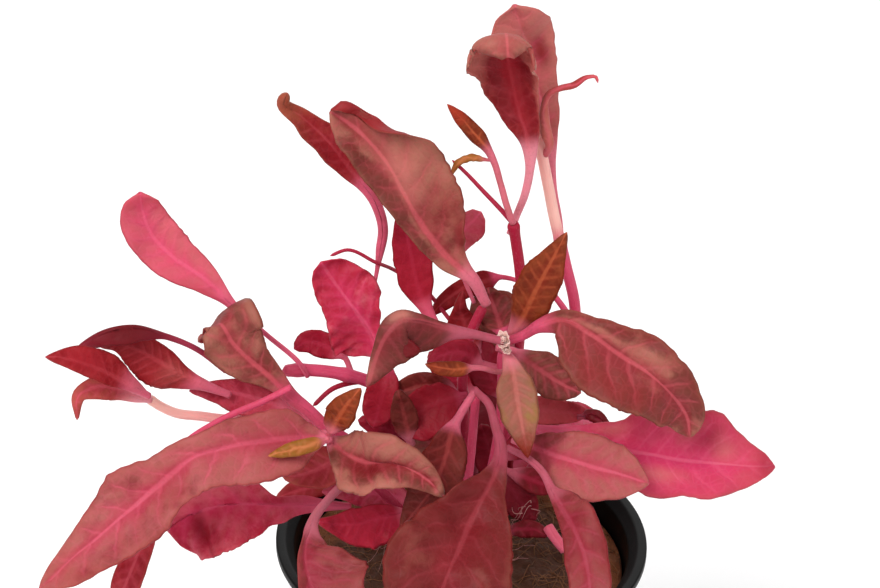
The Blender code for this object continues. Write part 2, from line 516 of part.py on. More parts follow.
def build_wrap(collection):
    """The bare pale wrap around the cup, a gap away from its wall."""
    top_inner = wall_radius(WRAP_TOP) + GAP
    bottom_inner = wall_radius(WRAP_BOTTOM) + GAP
    outline = [
        (top_inner, WRAP_TOP),
        (top_inner + WRAP_THICKNESS, WRAP_TOP),
        (bottom_inner + WRAP_THICKNESS, WRAP_BOTTOM),
        (bottom_inner, WRAP_BOTTOM),
    ]
    return build_turned("wrap", outline, CUP_STEPS, "pale_wrap", collection)


def build_plug(collection):
    """The fibrous growing plug that fills the cup to just under its lip."""
    floor = BASE_THICKNESS + GAP
    inset = WALL_THICKNESS + GAP + 0.1
    edge = wall_radius(PLUG_TOP) - inset
    outline = [
        (0.0, PLUG_TOP + PLUG_DOME),
        (edge * 0.5, PLUG_TOP + PLUG_DOME * 0.8),
        (edge * 0.9, PLUG_TOP + PLUG_DOME * 0.3),
        (edge, PLUG_TOP - 0.6),
        (wall_radius(floor) - inset, floor),
        (0.0, floor),
    ]
    return build_turned("growing_plug", outline, PLUG_STEPS, "brown_plug", collection)


def build_flower(collection):
    """The little papery flower head where four leaves meet."""
    mesh = bpy.data.meshes.new("flower_head")
    grid = bmesh.new()
    bmesh.ops.create_icosphere(grid, subdivisions=1, radius=FLOWER_RADIUS * MM)
    grid.to_mesh(mesh)
    grid.free()
    ob = bpy.data.objects.new("flower_head", mesh)
    ob.location = placed([FLOWER_PLACE])[0] * MM
    return finished(ob, "cream_flower", collection)


def main():
    for ob in list(bpy.data.objects):
        bpy.data.objects.remove(ob, do_unlink=True)
    collection = bpy.data.collections.new("rosanervig_scarlet_temple")
    bpy.context.scene.collection.children.link(collection)
    build_cup(collection)
    build_wrap(collection)
    build_plug(collection)
    build_flower(collection)
    for entry in STEMS:
        build_stem(entry, collection)
    for entry in LEAVES:
        build_leaf(entry, collection)


main()
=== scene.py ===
"""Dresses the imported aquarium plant: veined leaves, jointed stems, cup, wrap, plug, roots and a flower.

It is laid out as an add-on and run as a script. Lengths in the tables are millimetres and meshes are metres.
The origin is the middle of the cup's base, X runs to the right of the front view, Y away and Z up.
"""
from math import cos, pi, radians, sin

import bpy
import numpy as np
from mathutils import Matrix


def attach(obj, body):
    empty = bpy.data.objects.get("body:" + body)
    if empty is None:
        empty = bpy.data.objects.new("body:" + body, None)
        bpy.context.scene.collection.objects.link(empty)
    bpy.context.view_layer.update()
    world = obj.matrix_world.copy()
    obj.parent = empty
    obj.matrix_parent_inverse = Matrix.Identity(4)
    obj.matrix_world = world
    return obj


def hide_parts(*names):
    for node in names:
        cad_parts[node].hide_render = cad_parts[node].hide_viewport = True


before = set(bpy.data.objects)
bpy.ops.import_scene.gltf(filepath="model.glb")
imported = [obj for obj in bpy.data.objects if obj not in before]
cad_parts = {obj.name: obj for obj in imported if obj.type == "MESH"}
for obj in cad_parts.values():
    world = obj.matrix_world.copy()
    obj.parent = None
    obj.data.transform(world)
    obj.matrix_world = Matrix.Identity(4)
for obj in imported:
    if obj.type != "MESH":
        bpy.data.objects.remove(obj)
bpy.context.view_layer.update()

bl_info = {
    "name": "Potted Red Aquarium Plant",
    "version": (1, 0, 0),
    "blender": (4, 5, 0),
    "location": "View3D > Sidebar > Plant",
    "description": "Dresses the packed aquarium plant with leaves, stems, cup, wrap, plug, roots and flower",
    "category": "Object",
}

MM = 0.001
BODY = "root"

CUP_HEIGHT = 50.0
RIM_RADIUS = 26.0
RIM_INNER_RADIUS = 24.7
RIM_DEPTH = 1.2
WALL_TOP_RADIUS = 24.3
WALL_BASE_RADIUS = 19.3
WALL_THICKNESS = 0.8
BASE_THICKNESS = 1.2
WRAP_THICKNESS = 0.35
WRAP_TOP = 48.4
WRAP_BOTTOM = 2.0
PLUG_TOP = 46.0
PLUG_DOME = 0.4
PLUG_SHOULDER = 0.6
# The plug is darkened by painted shade inside the first radius, fading out by the second.
SHADE_RADIUS = 15.0
SHADE_END_RADIUS = SHADE_RADIUS + 6.0
GAP = 0.3
PLUG_INSET = WALL_THICKNESS + GAP + 0.1

# The flower's two hearts as a place in the front view, a number of scales and a size, and a scale's mesh.
FLOWER_HEADS = (((503, 340, -4.4), 34, 1.25), ((506, 350, -4.6), 18, 0.8))
SCALE_ROWS = np.linspace(0.0, 1.0, 7)
SCALE_COLUMNS = np.linspace(-1.0, 1.0, 6)

# The cup's foot ring, its recess under the base and the wrap's lap at the back, in millimetres and radians.
FOOT_WIDTH = 2.0
FOOT_RECESS = 0.5
LAP_START = pi / 2
LAP_END = pi / 2 + 0.3
LAP_STEP = 0.25

# A leaf's base joins a stem that is nearer than JOIN_REACH and runs on by LOOSE_REACH where none is.
JOIN_REACH = 3.2
LOOSE_REACH = 0.8
# Its margin makes WAVES slow waves, USUAL_WAVE high, and a lip starts at this share of the half width.
WAVES = 3.0
USUAL_WAVE = 0.25
LIP_START = 2 / 3
LIP_BLEND = 0.12
# Its side veins fall back by VEIN_SLANT a millimetre out from the rib and VEIN_CURVE a square millimetre.
VEIN_SLANT = 0.75
VEIN_CURVE = 0.02
# It closes to a point over this share of its length, and its margin is ragged by these shares of its width.
TIP_SHARE = 0.03
SLOW_RAGGED = 0.022
FINE_RAGGED = 0.012
# It has VEIN_PAIRS side veins to each side, if that puts them this range of millimetres apart.
VEIN_PAIRS = 7.5
VEIN_SPACING = (1.6, 4.5)
# A leaf of this half width has the full relief. Its mesh has so many rows, and so many columns to each side.
FULL_HALF_WIDTH = 6.0
LEAF_ROWS = (24, 120)
LEAF_COLUMNS = (5, 18)

# A stem has rings this far apart, starts inside the plug and ends in a dome, which is shorter on a cut stub.
STEM_PITCH = 0.4
STEM_SIDES = 20
STEM_SUNK = 3.0
STEM_DOME = 0.8
STUB_DOME = 0.25
# It swells where a leaf joins, over NODE_REACH to each side, and has shallow flutes.
NODE_SWELL = 0.14
NODE_REACH = 0.85
FLUTES = 5
FLUTE_DEPTH = 0.03

# The front view that leaf and stem points are read in: columns and rows of a picture of this size.
PICTURE_COLUMNS = 880
PICTURE_ROWS = 588
RIM_COLUMN = 461.5
RIM_ROW = 537.0
VIEW_ELEVATION = radians(31.1)
VIEW_ROLL = radians(1.5)
VIEW_DISTANCE = 480.0
VIEW_FOCAL_COLUMNS = 3415.0
SENSOR_WIDTH = 36.0

# Half the floor's width in millimetres, and the point in metres that the lights face.
FLOOR_REACH = 2000.0
LIGHTS_TARGET = (0.0, 0.0, 0.07)


def view_directions():
    """Unit directions to the right, up and forward in the front view."""
    forward = np.array([0.0, cos(VIEW_ELEVATION), -sin(VIEW_ELEVATION)])
    level = np.array([1.0, 0.0, 0.0])
    rise = np.array([0.0, sin(VIEW_ELEVATION), cos(VIEW_ELEVATION)])
    right = cos(VIEW_ROLL) * level + sin(VIEW_ROLL) * rise
    up = cos(VIEW_ROLL) * rise - sin(VIEW_ROLL) * level
    return right, up, forward


RIGHT, UP, FORWARD = view_directions()


def sight(column, row):
    """The direction in which the viewer sees a point of the picture."""
    x = (column - PICTURE_COLUMNS / 2) / VIEW_FOCAL_COLUMNS
    y = (PICTURE_ROWS / 2 - row) / VIEW_FOCAL_COLUMNS
    return x * RIGHT + y * UP + FORWARD


TO_RIM = sight(RIM_COLUMN, RIM_ROW)
EYE = np.array([0.0, 0.0, CUP_HEIGHT]) - VIEW_DISTANCE * TO_RIM / np.linalg.norm(TO_RIM)


def placed(points):
    """Positions of (column, row, depth) points: each ray of sight run on until its Y is the depth."""
    table = np.asarray(points, float)
    ray = sight(table[:, 0:1], table[:, 1:2])
    return EYE + ray * (table[:, 2:3] - EYE[1]) / ray[:, 1:2]


def spans(points):
    """The distances between neighbouring points."""
    return np.linalg.norm(np.diff(points, axis=0), axis=1)


def turns(steps):
    """Evenly spaced angles of one turn."""
    return np.linspace(0.0, 2 * pi, steps, endpoint=False)


def even_path(points, count):
    """Evenly spaced points on the cubic Hermite curve through the given ones."""
    knots = np.concatenate([[0.0], np.cumsum(spans(points))])
    slope = np.gradient(points, knots, axis=0)
    at = np.linspace(0.0, knots[-1], 400)
    i = np.clip(np.searchsorted(knots, at, side="right") - 1, 0, len(points) - 2)
    h = (knots[i + 1] - knots[i])[:, None]
    t = (at - knots[i])[:, None] / h
    start, end = points[i], points[i + 1]
    curve = start * (2 * t**3 - 3 * t**2 + 1) + slope[i] * h * (t**3 - 2 * t**2 + t)
    curve += end * (3 * t**2 - 2 * t**3) + slope[i + 1] * h * (t**3 - t**2)
    run = np.concatenate([[0.0], np.cumsum(spans(curve))])
    stops = np.linspace(0.0, run[-1], count)
    return np.stack([np.interp(stops, run, curve[:, k]) for k in range(3)], axis=1)


def profile(values, at):
    """The smooth curve through evenly spaced values, which never swings past them."""
    at = np.clip(at, 0.0, 1.0)
    v = np.asarray(values, float)
    if len(v) == 1:
        return np.full(len(at), v[0])
    n = len(v) - 1
    d = np.diff(v)
    slope = np.concatenate([d[:1], np.zeros(n - 1), d[-1:]])
    same = d[1:] * d[:-1] > 0
    slope[1:-1][same] = 2 * d[1:][same] * d[:-1][same] / (d[1:] + d[:-1])[same]
    i = np.clip((at * n).astype(int), 0, n - 1)
    t = at * n - i
    curve = v[i] * (2 * t**3 - 3 * t**2 + 1) + slope[i] * (t**3 - 2 * t**2 + t)
    return curve + v[i + 1] * (3 * t**2 - 2 * t**3) + slope[i + 1] * (t**3 - t**2)


def unit(vectors):
    """The vectors at length one."""
    return vectors / np.maximum(np.linalg.norm(vectors, axis=-1, keepdims=True), 1e-9)


def smooth(values, low, high):
    """3t^2 - 2t^3 of the share t of the way from low to high, held between nought and one."""
    t = np.clip((values - low) / (high - low), 0.0, 1.0)
    return t * t * (3 - 2 * t)


def leaf(name, colour, rib, half=None, **more):
    """One leaf, stalk included, from its base to its tip.

    rib is the middle line as (column, row, depth). left and right are half widths along it as seen in the
    front view, and half is both. roll turns the blade about its rib, fold lifts both halves towards the
    viewer, fold_right the right one alone, curl bends them further at the edge and lip folds over the outer
    third of the right one, all in degrees. wave is the height of the margin's slow waves.
    A leaf that is turned over keeps its face as its rib bends back, and shows its other side past the bend.
    A leaf with under set shows its underside from the front. A dent is (along, out, length, width, depth).

    warmth is how much of the skin is patched, shade how far it is darkened by painted shade where other
    leaves and its own hollows shade it, tip how far its tip has turned, veins how strong its side veins are
    and pale how pale its stalk is.
    A stain is (along, out, length, width, patches, shade, deep): where it lies as shares of the leaf's length
    and of its half width, how far it reaches, and what it adds to the patches, to the painted shade and to
    the deep red or, below zero, to the paleness, which is the leaf's own paleness in places and a painted
    highlight in others. out is below zero on the left half.
    """
    entry = dict(name=name, colour=colour, rib=rib, left=half, right=half, roll=(0,), fold=(12,), curl=(0,),
                 lip=(0,), wave=USUAL_WAVE, turned_over=False, under=False, dents=(), stains=(), warmth=0.5,
                 shade=0.0, tip=0.0, veins=1.0, pale=0.25)
    entry.update(more)
    entry.setdefault("fold_right", entry["fold"])
    entry["widest"] = max(*entry["left"], *entry["right"])
    return entry


def stem(name, path, base, top, pale):
    """One stem along path, with its radius at the base and at the top and how pale it is along it."""
    return dict(name=name, path=path, base=base, top=top, pale=pale)


STEMS = [
    stem("right_stem", base=0.85, top=0.75, path=[
         (486, 537, 4), (520, 490, 8), (552, 425, 12), (570, 360, 14), (575, 312, 15), (565, 262, 15),
         (554, 216, 15), (548, 185, 15), (541, 150, 15), (536, 126, 15)],
         pale=(0.0, 0.1, 0.15, 0.2, 0.25, 0.3, 0.3, 0.35, 0.9, 0.85, 0.8)),
    stem("middle_stem", base=0.8, top=0.75, path=[
         (478, 530, 6), (500, 470, 6), (512, 400, 8), (519, 340, 9), (521, 285, 9), (513, 221, 9.5)],
         pale=(0.15, 0.22, 0.15, 0.05, 0.0)),
    stem("front_stem", base=0.75, top=0.65, path=[
         (474, 562, -3), (488, 490, -3), (500, 420, -1), (503, 350, 0)], pale=(0.2, 0.25, 0.3)),
    stem("crown_stem", base=0.7, top=0.6, path=[
         (462, 570, -5), (466, 500, -7), (472, 440, -6.5), (476, 396, -6)], pale=(0.2, 0.25, 0.25)),
    stem("rear_stem", base=0.8, top=0.7, path=[
         (460, 538, 4), (462, 480, 5), (464, 420, 5), (463, 370, 4), (472, 330, 5), (484, 305, 6)],
         pale=(0.1, 0.1, 0.1)),
    stem("left_stem", base=0.95, top=0.85, path=[
         (447, 540, 3), (430, 470, 5), (405, 410, 6), (370, 382, 5), (343, 374, 4), (304, 370, 3),
         (282, 371, 2.5)], pale=(0.1, 0.15, 0.25, 0.4, 0.5)),
    stem("outer_left_stem", base=0.7, top=0.65, path=[
         (440, 551, 0), (390, 480, 1), (320, 425, 0), (260, 418, -1), (226, 419, -2), (200, 416, -3),
         (176, 413, -4), (160, 406, -4.5), (148, 398, -5)], pale=(0.0, 0.1, 0.3, 0.7, 0.9)),
    stem("low_left_stem", base=0.75, top=0.6, path=[
         (448, 569, -5), (405, 515, -5.5), (355, 465, -6), (328, 437, -6)], pale=(0.1, 0.15, 0.2)),
]

# A leaf's shade and the shade in its stains are painted shade: darker where it lies behind or under other
# leaves and in its own hollows, creases and folds. Stains below zero in the last column pale the leaf, which
# is its own paleness in places and a painted highlight on bends and up-facing tops in others.
LEAVES = [
    leaf("top_rear_leaf", "rose_leaf", rib=[
         (560, 224, 18), (554, 190, 18.5), (550, 150, 19), (541, 100, 19.5), (528, 50, 19), (514, 6, 16)],
         left=(0.4, 0.45, 0.6, 1.6, 2.9, 4.2, 5.0, 4.8, 2.0),
         right=(0.4, 0.45, 0.6, 1.4, 2.4, 3.0, 3.8, 4.2, 2.6), warmth=0.8, veins=0.7, pale=0.35,
         stains=[(0.74, 0.45, 0.06, 0.25, 0.0, 0.25, 1.1), (0.8, -0.1, 0.25, 2.0, 0.5, 0.0, -0.5)]),
    # Shade in its stains above zero is painted shade in the hollow under its curled tip.
    leaf("top_cupped_leaf", "brown_leaf", rib=[
         (516, 217, 12), (525, 194, 11.5), (530, 165, 11.5), (528, 139, 12), (519, 108, 12.5),
         (512, 78, 12.5), (507, 51, 11), (506, 36, 8.6), (506, 34, 6.4), (507, 43, 4.8), (508, 57, 4)],
         left=(0.5, 0.55, 0.6, 1.0, 2.2, 3.4, 4.5, 6.2, 7.4, 7.4, 5.8),
         right=(0.5, 0.55, 0.6, 1.2, 2.6, 3.9, 5.0, 5.4, 6.4, 6.2, 4.8),
         fold=(0, 0, 0, 10, 12, 10, 8, 4, 0), curl=(0, 0, 0, 5, 15, 30, 45, 64, 80, 86, 80), wave=0.1,
         turned_over=True, under=True, warmth=0.3, veins=0.6, pale=0.6,
         stains=[(0.64, -0.35, 0.06, 0.3, 0.0, 0.3, 0.3), (0.66, 0.35, 0.05, 0.3, 0.0, 0.35, 0.3),
                 (0.56, 0.0, 0.2, 0.3, 0.0, -0.2, 0.7), (0.45, 0.55, 0.08, 0.4, 0.0, 0.2, 0.4),
                 (0.75, 0.0, 0.05, 1.0, 0.0, -0.2, -0.25), (0.88, 0.0, 0.13, 1.4, 0.6, -0.1, -0.25),
                 (0.7, -0.9, 0.1, 0.4, 0.0, -0.3, -0.35), (0.6, 0.98, 0.2, 0.25, 0.5, -0.3, -0.45)]),
    leaf("twisted_leaflet", "salmon_leaf", rib=[
         (549, 148, 13.8), (545, 126, 13.4), (544, 108, 13), (549, 94, 12.5), (561, 88, 12), (574, 85, 12),
         (588, 77, 11.5), (596, 77, 11.2), (598, 83, 11)],
         half=(0.5, 0.75, 0.75, 0.55, 0.4, 0.4, 0.45, 0.3, 0.2),
         stains=[(0.2, 0.0, 0.3, 3.0, 0.6, 0.1, -0.3)]),
    leaf("bud_leaf", "bronze_leaf", rib=[
         (510, 216, 9), (501, 185, 10.5), (490, 153, 11), (468, 126, 11), (447, 104, 10.5)],
         half=(0.45, 0.45, 0.45, 0.55, 1.15, 0.95, 0.15), tip=0.9,
         stains=[(0.15, 0.0, 0.3, 3.0, 0.0, 0.12, -0.1)]),
    leaf("curled_side_leaflet", "olive_leaf", rib=[
         (487, 160, 11.5), (469, 158, 11), (458, 163, 10.5), (451, 176, 10)],
         half=(0.2, 0.5, 0.45, 0.15)),
    # Its fifth stain is painted shadow, with deep red, in the crease under the folded-over lip near the tip.
    leaf("upper_left_leaf", "brown_leaf", rib=[
         (484, 300, 3.5), (474, 281, 3.5), (448, 258, 4), (420, 222, 5), (402, 190, 6), (388, 164, 7),
         (368, 140, 8), (347, 122, 9), (330, 112, 9)],
         left=(0.7, 1.0, 1.9, 2.3, 3.0, 3.7, 4.1, 3.6, 1.4),
         right=(0.7, 1.0, 3.4, 6.2, 7.2, 7.3, 6.8, 5.2, 2.4), fold=(10, 10, 14, 16, 18),
         lip=(0, 0, 0, 0, 0, 0, 60, 165, 165), warmth=0.75, veins=0.6,
         stains=[(0.45, 0.45, 0.1, 0.35, -0.4, 0.25, 0.3), (0.3, 0.85, 0.15, 0.25, -0.2, 0.2, 0.35),
                 (0.6, -0.7, 0.25, 0.4, -0.9, 0.1, 0.0), (0.62, 0.15, 0.16, 0.3, 0.5, 0.0, -0.4),
                 (0.86, 0.45, 0.08, 0.16, 0.0, 0.35, 0.7), (0.86, 0.85, 0.12, 0.25, 0.5, 0.15, 0.0)]),
    leaf("hooked_rear_leaf", "brown_leaf", rib=[
         (371, 300, 8), (376, 276, 9.5), (380, 252, 11), (383, 230, 12), (376, 204, 13), (352, 172, 14),
         (325, 138, 14), (302, 117, 14), (284, 103, 13.5), (287, 93, 12.5)],
         left=(0.25, 0.3, 0.7, 0.75, 0.8, 1.6, 2.4, 2.3, 1.5, 0.7),
         right=(0.25, 0.3, 0.7, 0.75, 0.8, 2.4, 3.0, 1.8, 1.1, 0.6), fold=(10, 20, 30), under=True, tip=0.7,
         veins=0.8, pale=0.1,
         stains=[(0.62, 0.0, 0.1, 0.8, 0.0, 0.1, 0.6), (0.8, 0.3, 0.06, 0.6, 0.0, 0.1, 0.6)]),
    leaf("small_round_leaf", "pink_leaf", rib=[
         (472, 298, 9.5), (463, 275, 11), (458, 250, 12), (463, 231, 12.6), (474, 220, 12.9),
         (481, 212, 12.7)],
         left=(0.3, 0.3, 0.35, 1.6, 2.0, 1.0), right=(0.3, 0.3, 0.35, 2.0, 2.6, 1.0), under=True, veins=0.2,
         pale=0.2, stains=[(0.5, 0.0, 0.5, 3.0, 0.2, 0.0, -0.12)]),
    leaf("rear_scarlet_leaf", "scarlet_leaf", rib=[
         (518, 281, 10.5), (500, 277, 11), (485, 281, 11.5), (462, 289, 12), (446, 300, 12),
         (431, 315, 11.5)],
         left=(0.3, 0.35, 1.6, 1.6, 1.5, 1.2, 0.3), right=(0.3, 0.35, 1.6, 1.4, 1.3, 1.1, 0.3), under=True,
         veins=0.4, pale=0.0),
    leaf("rear_upright_leaf", "crimson_leaf", rib=[
         (440, 332, 6), (426, 308, 8), (416, 280, 9), (411, 255, 10), (405, 225, 10.5), (402, 205, 10.5)],
         left=(0.5, 1.0, 2.4, 2.6, 1.9, 0.5), right=(0.5, 1.0, 2.4, 2.9, 2.4, 0.5), under=True, veins=0.3,
         pale=0.1, stains=[(0.4, 0.0, 0.3, 2.0, 0.0, 0.0, 0.4)]),
    leaf("rust_upright_leaf", "bronze_leaf", rib=[
         (510, 336, -1), (522, 318, -1.5), (537, 288, -2), (552, 260, -2), (567, 232, -1.5)],
         half=(0.5, 1.6, 2.9, 2.9, 1.7, 0.2), shade=0.15),
    leaf("brown_rear_leaf", "brown_leaf", rib=[
         (503, 334, 3.5), (497, 316, 7.6), (492, 302, 9), (488, 288, 9)],
         left=(0.6, 2.0, 2.6, 2.2, 0.5), right=(0.6, 2.2, 2.8, 2.6, 0.5), warmth=0.3, shade=0.15, veins=0.6,
         pale=0.0),
    leaf("paddle_leaf", "pink_leaf", rib=[
         (379, 356, 2.5), (372, 336, 3), (358, 314, 3.5), (343, 294, 4), (330, 276, 4), (321, 262, 4)],
         left=(0.6, 5.8, 5.3, 3.8, 3.2, 1.4), right=(0.6, 1.4, 3.5, 4.9, 3.9, 1.2), fold=(8,), under=True,
         warmth=0.3, veins=0.35, pale=0.2,
         stains=[(0.85, 0.0, 0.2, 1.5, -0.3, 0.1, 0.35), (0.25, -0.5, 0.15, 0.5, 0.0, 0.1, 0.4)]),
    leaf("small_paddle_leaf", "crimson_leaf", rib=[
         (345, 358, 5.5), (325, 346, 6), (308, 342, 6), (294, 349, 5.5)],
         half=(0.4, 1.5, 1.9, 1.6, 0.5), under=True, veins=0.3, pale=0.2),
    # Its first and last stains are painted highlights, on the ridge of the bend and near the tip.
    leaf("bent_brown_leaf", "brown_leaf", rib=[
         (498, 340, -5), (465, 332, -7), (440, 326, -8.4), (418, 321, -9.6), (401, 321, -10.6),
         (388, 333, -11.4), (378, 352, -11.9), (367, 387, -12)],
         left=(0.55, 0.6, 1.3, 3.6, 5.4, 5.0, 4.6, 2.6, 0.3),
         right=(0.55, 0.6, 0.6, 0.7, 1.2, 1.7, 1.0, 0.6, 0.3), fold=(0, -5, -18, -16, -10), warmth=0.2,
         shade=0.36, veins=0.6, pale=0.2,
         stains=[(0.57, 0.5, 0.06, 0.5, 0.6, -0.2, -0.6), (0.5, -0.5, 0.2, 0.6, -0.4, 0.25, 0.0),
                 (0.9, 0.3, 0.1, 0.8, 0.5, -0.1, -0.25)]),
    leaf("hanging_crimson_leaf", "crimson_leaf", rib=[
         (390, 368, 3), (385, 385, 1), (380, 404, 0), (373, 428, -1)],
         half=(0.5, 2.0, 2.5, 2.2, 0.4), under=True, shade=0.2, veins=0.2, pale=0.0,
         stains=[(0.5, 0.0, 0.5, 2.0, 0.0, 0.0, 0.5)]),
    leaf("orange_bud", "bronze_leaf", rib=[
         (500, 372, -3), (480, 368, -5), (455, 369, -7), (440, 368, -8), (425, 364, -8.5)],
         half=(0.35, 0.35, 0.4, 1.1, 1.0, 0.2), tip=0.4),
    leaf("inner_crimson_leaf", "crimson_leaf", rib=[
         (462, 396, 0), (440, 402, -1), (415, 415, -2), (396, 432, -3)],
         left=(0.5, 3.2, 4.2, 4.0, 0.6), right=(0.5, 2.6, 3.0, 2.6, 0.6), under=True, shade=0.25, veins=0.2,
         pale=0.0, stains=[(0.5, 0.0, 0.5, 2.0, 0.0, 0.0, 0.6)]),
    leaf("pale_drooping_leaf", "tan_leaf", rib=[
         (506, 352, -3), (513, 372, -6), (517, 398, -8.5), (521, 420, -10.5), (528, 458, -12.5)],
         half=(0.5, 1.5, 2.8, 2.7, 1.6, 0.2), tip=0.95),
    leaf("big_right_brown_leaf", "brown_leaf", rib=[
         (508, 341, -2), (524, 335, -3.5), (541, 325, -5), (563, 320, -6), (592, 335, -7.5),
         (620, 355, -9), (648, 373, -10), (672, 395, -10.5), (687, 417, -10.5), (690, 436, -10)],
         left=(0.6, 0.7, 1.2, 2.2, 3.8, 4.6, 4.2, 2.8, 1.0),
         right=(0.6, 0.7, 1.8, 5.6, 7.0, 6.4, 5.2, 3.8, 1.0), pale=0.0,
         stains=[(0.82, 0.0, 0.12, 1.5, -0.4, 0.1, 0.0), (0.55, 0.6, 0.25, 0.35, -0.6, 0.1, 0.35),
                 (0.5, -0.35, 0.25, 0.2, 0.5, 0.0, -0.1), (0.5, -0.9, 0.3, 0.2, 0.0, 0.1, 0.2)]),
    leaf("small_green_brown_leaf", "brown_leaf", rib=[
         (516, 352, 2.2), (530, 363, 1.2), (546, 374, 0.4), (562, 384, -0.4), (581, 393, -1.2)],
         half=(0.5, 1.9, 2.9, 2.9, 2.2, 0.5)),
    leaf("low_right_crimson_leaf", "crimson_leaf", rib=[
         (512, 402, 4), (535, 409, 3.2), (560, 412, 2.4), (591, 413, 1.4)],
         half=(0.5, 1.7, 2.1, 1.8, 1.4, 0.3), under=True, stains=[(0.5, 0.0, 0.5, 2.0, 0.5, 0.0, -0.2)]),
    leaf("big_right_pink_leaf", "pink_leaf", rib=[
         (520, 428, 0), (560, 432, -1.5), (590, 437, -3), (616, 447, -4), (663, 458, -5.5),
         (692, 461, -6), (721, 465, -6.5), (755, 467, -7), (775, 467, -7)],
         left=(0.6, 0.8, 1.5, 4.0, 6.6, 7.1, 7.0, 4.3, 0.9),
         right=(0.6, 0.8, 1.5, 4.0, 6.2, 5.9, 5.9, 3.4, 0.9), roll=(15, 18, 20), warmth=0.8, tip=0.4,
         veins=0.7, pale=0.1,
         stains=[(0.14, 0.0, 0.14, 3.0, 0.2, 0.1, 0.12), (0.65, -0.2, 0.14, 0.5, -0.4, 0.0, 0.0),
                 (0.35, -0.6, 0.07, 0.3, 0.0, 0.05, -0.35), (0.62, -0.75, 0.06, 0.2, 0.0, 0.05, -0.3),
                 (0.8, -0.3, 0.05, 0.3, 0.0, 0.0, -0.3), (0.55, 0.45, 0.1, 0.2, 0.0, -0.1, -0.4),
                 (0.97, 0.0, 0.04, 2.0, 0.0, 0.2, 0.3), (0.85, 0.6, 0.15, 0.5, 0.6, 0.0, 0.0),
                 (0.45, 0.2, 0.15, 0.5, 0.4, 0.1, 0.1)]),
    leaf("front_right_pink_leaf", "rose_leaf", rib=[
         (518, 441, -6), (545, 452, -8), (575, 462, -10), (600, 469, -11), (625, 476, -12),
         (649, 484, -12.5)],
         left=(0.6, 2.6, 4.1, 4.4, 3.4, 0.5), right=(0.6, 2.4, 4.7, 5.0, 3.8, 0.5), roll=(10,), warmth=0.95,
         veins=0.25, pale=0.3, stains=[(0.15, 0.0, 0.15, 2.0, -0.5, 0.0, 0.1)]),
    leaf("front_right_hanging_leaf", "rose_leaf", rib=[
         (512, 450, -9), (527, 458, -10.8), (543, 473, -13.5), (553, 493, -16), (563, 511, -19),
         (577, 535, -23), (586, 562, -26), (590, 592, -29), (590, 622, -31), (587, 645, -32)],
         left=(0.45, 0.5, 0.6, 3.0, 3.7, 3.2, 3.0, 2.4, 0.3),
         right=(0.45, 0.5, 0.6, 1.0, 1.8, 2.7, 2.8, 2.2, 0.3), shade=0.35,
         stains=[(0.6, 0.0, 0.4, 3.0, 0.0, 0.0, 0.35)]),
    leaf("front_centre_leaf", "brown_leaf", rib=[
         (478, 393, -9), (488, 403, -10.5), (495, 425, -12.5), (500, 447, -14), (495, 473, -16),
         (483, 497, -19), (471, 521, -22), (460, 547, -26), (446, 579, -30), (436, 612, -33),
         (430, 642, -35)],
         right=(0.5, 0.6, 0.8, 2.6, 5.2, 7.4, 9.0, 7.2, 0.4),
         left=(0.5, 0.6, 1.1, 2.5, 5.4, 7.2, 8.7, 7.0, 0.4), warmth=0.2, shade=0.48, veins=0.9, pale=0.15,
         stains=[(0.45, 0.6, 0.12, 0.4, 0.0, 0.15, 0.1), (0.6, 0.0, 0.4, 3.0, 0.0, 0.0, 0.4),
                 (0.62, 0.12, 0.2, 0.12, 0.0, -0.2, -0.1)]),
    # Its first stain is painted shadow, with deep red, in the hollow below the rib. Its second pales the
    # upper half, in part its own grey tan and in part painted light on the side that faces up.
    leaf("folded_grey_leaf", "brown_leaf", rib=[
         (330, 440, -8), (345, 453, -10), (366, 462, -12.5), (396, 464, -15.5), (416, 472, -17),
         (430, 482, -18), (444, 497, -19)],
         left=(0.6, 3.4, 4.8, 4.9, 3.9, 2.2, 0.4), right=(0.6, 3.0, 5.4, 5.2, 4.2, 2.2, 0.4),
         fold=(20, 34, 38, 24),
         stains=[(0.42, 0.28, 0.17, 0.17, 0.0, 0.55, 0.6), (0.35, -0.6, 0.3, 0.4, 0.4, -0.1, -0.2),
                 (0.5, 0.9, 0.25, 0.25, 0.4, 0.0, -0.3)]),
    leaf("dark_brown_leaf", "dark_leaf", rib=[
         (472, 396, -9), (463, 410, -10), (453, 428, -11), (446, 455, -12), (436, 482, -13),
         (418, 508, -14), (400, 528, -15)],
         half=(0.5, 0.6, 2.4, 3.3, 3.2, 2.2, 0.3), shade=0.15, veins=0.8, pale=0.15),
    leaf("front_left_leaf", "rose_leaf", rib=[
         (362, 472, -8), (344, 484, -10.5), (327, 501, -14.5), (313, 520, -18.5), (306, 541, -22),
         (305, 562, -26), (312, 588, -29), (326, 614, -32), (342, 645, -34)],
         left=(0.5, 0.6, 0.6, 0.8, 2.6, 5.8, 8.0, 5.6, 0.4),
         right=(0.5, 0.6, 0.6, 0.6, 0.7, 1.2, 2.0, 2.6, 0.4), fold=(10,), fold_right=(20, 40, 30, 20),
         shade=0.35, veins=0.7, pale=0.4, stains=[(0.7, 0.3, 0.4, 3.0, 0.0, 0.0, 0.25)]),
    leaf("inner_rose_leaf", "crimson_leaf", rib=[
         (404, 512, -8), (380, 518, -9.5), (355, 524, -11), (334, 524, -12.2), (317, 521, -13.2)],
         left=(0.5, 3.2, 3.9, 3.0, 1.5, 0.3), right=(0.5, 1.8, 2.2, 2.2, 1.3, 0.3), under=True,
         stains=[(0.5, 0.0, 0.5, 2.0, 0.2, 0.0, 0.2)]),
    leaf("salmon_leaf", "salmon_leaf", rib=[
         (350, 478, -0.5), (323, 484, -1.2), (297, 491, -2), (276, 498, -2.2)],
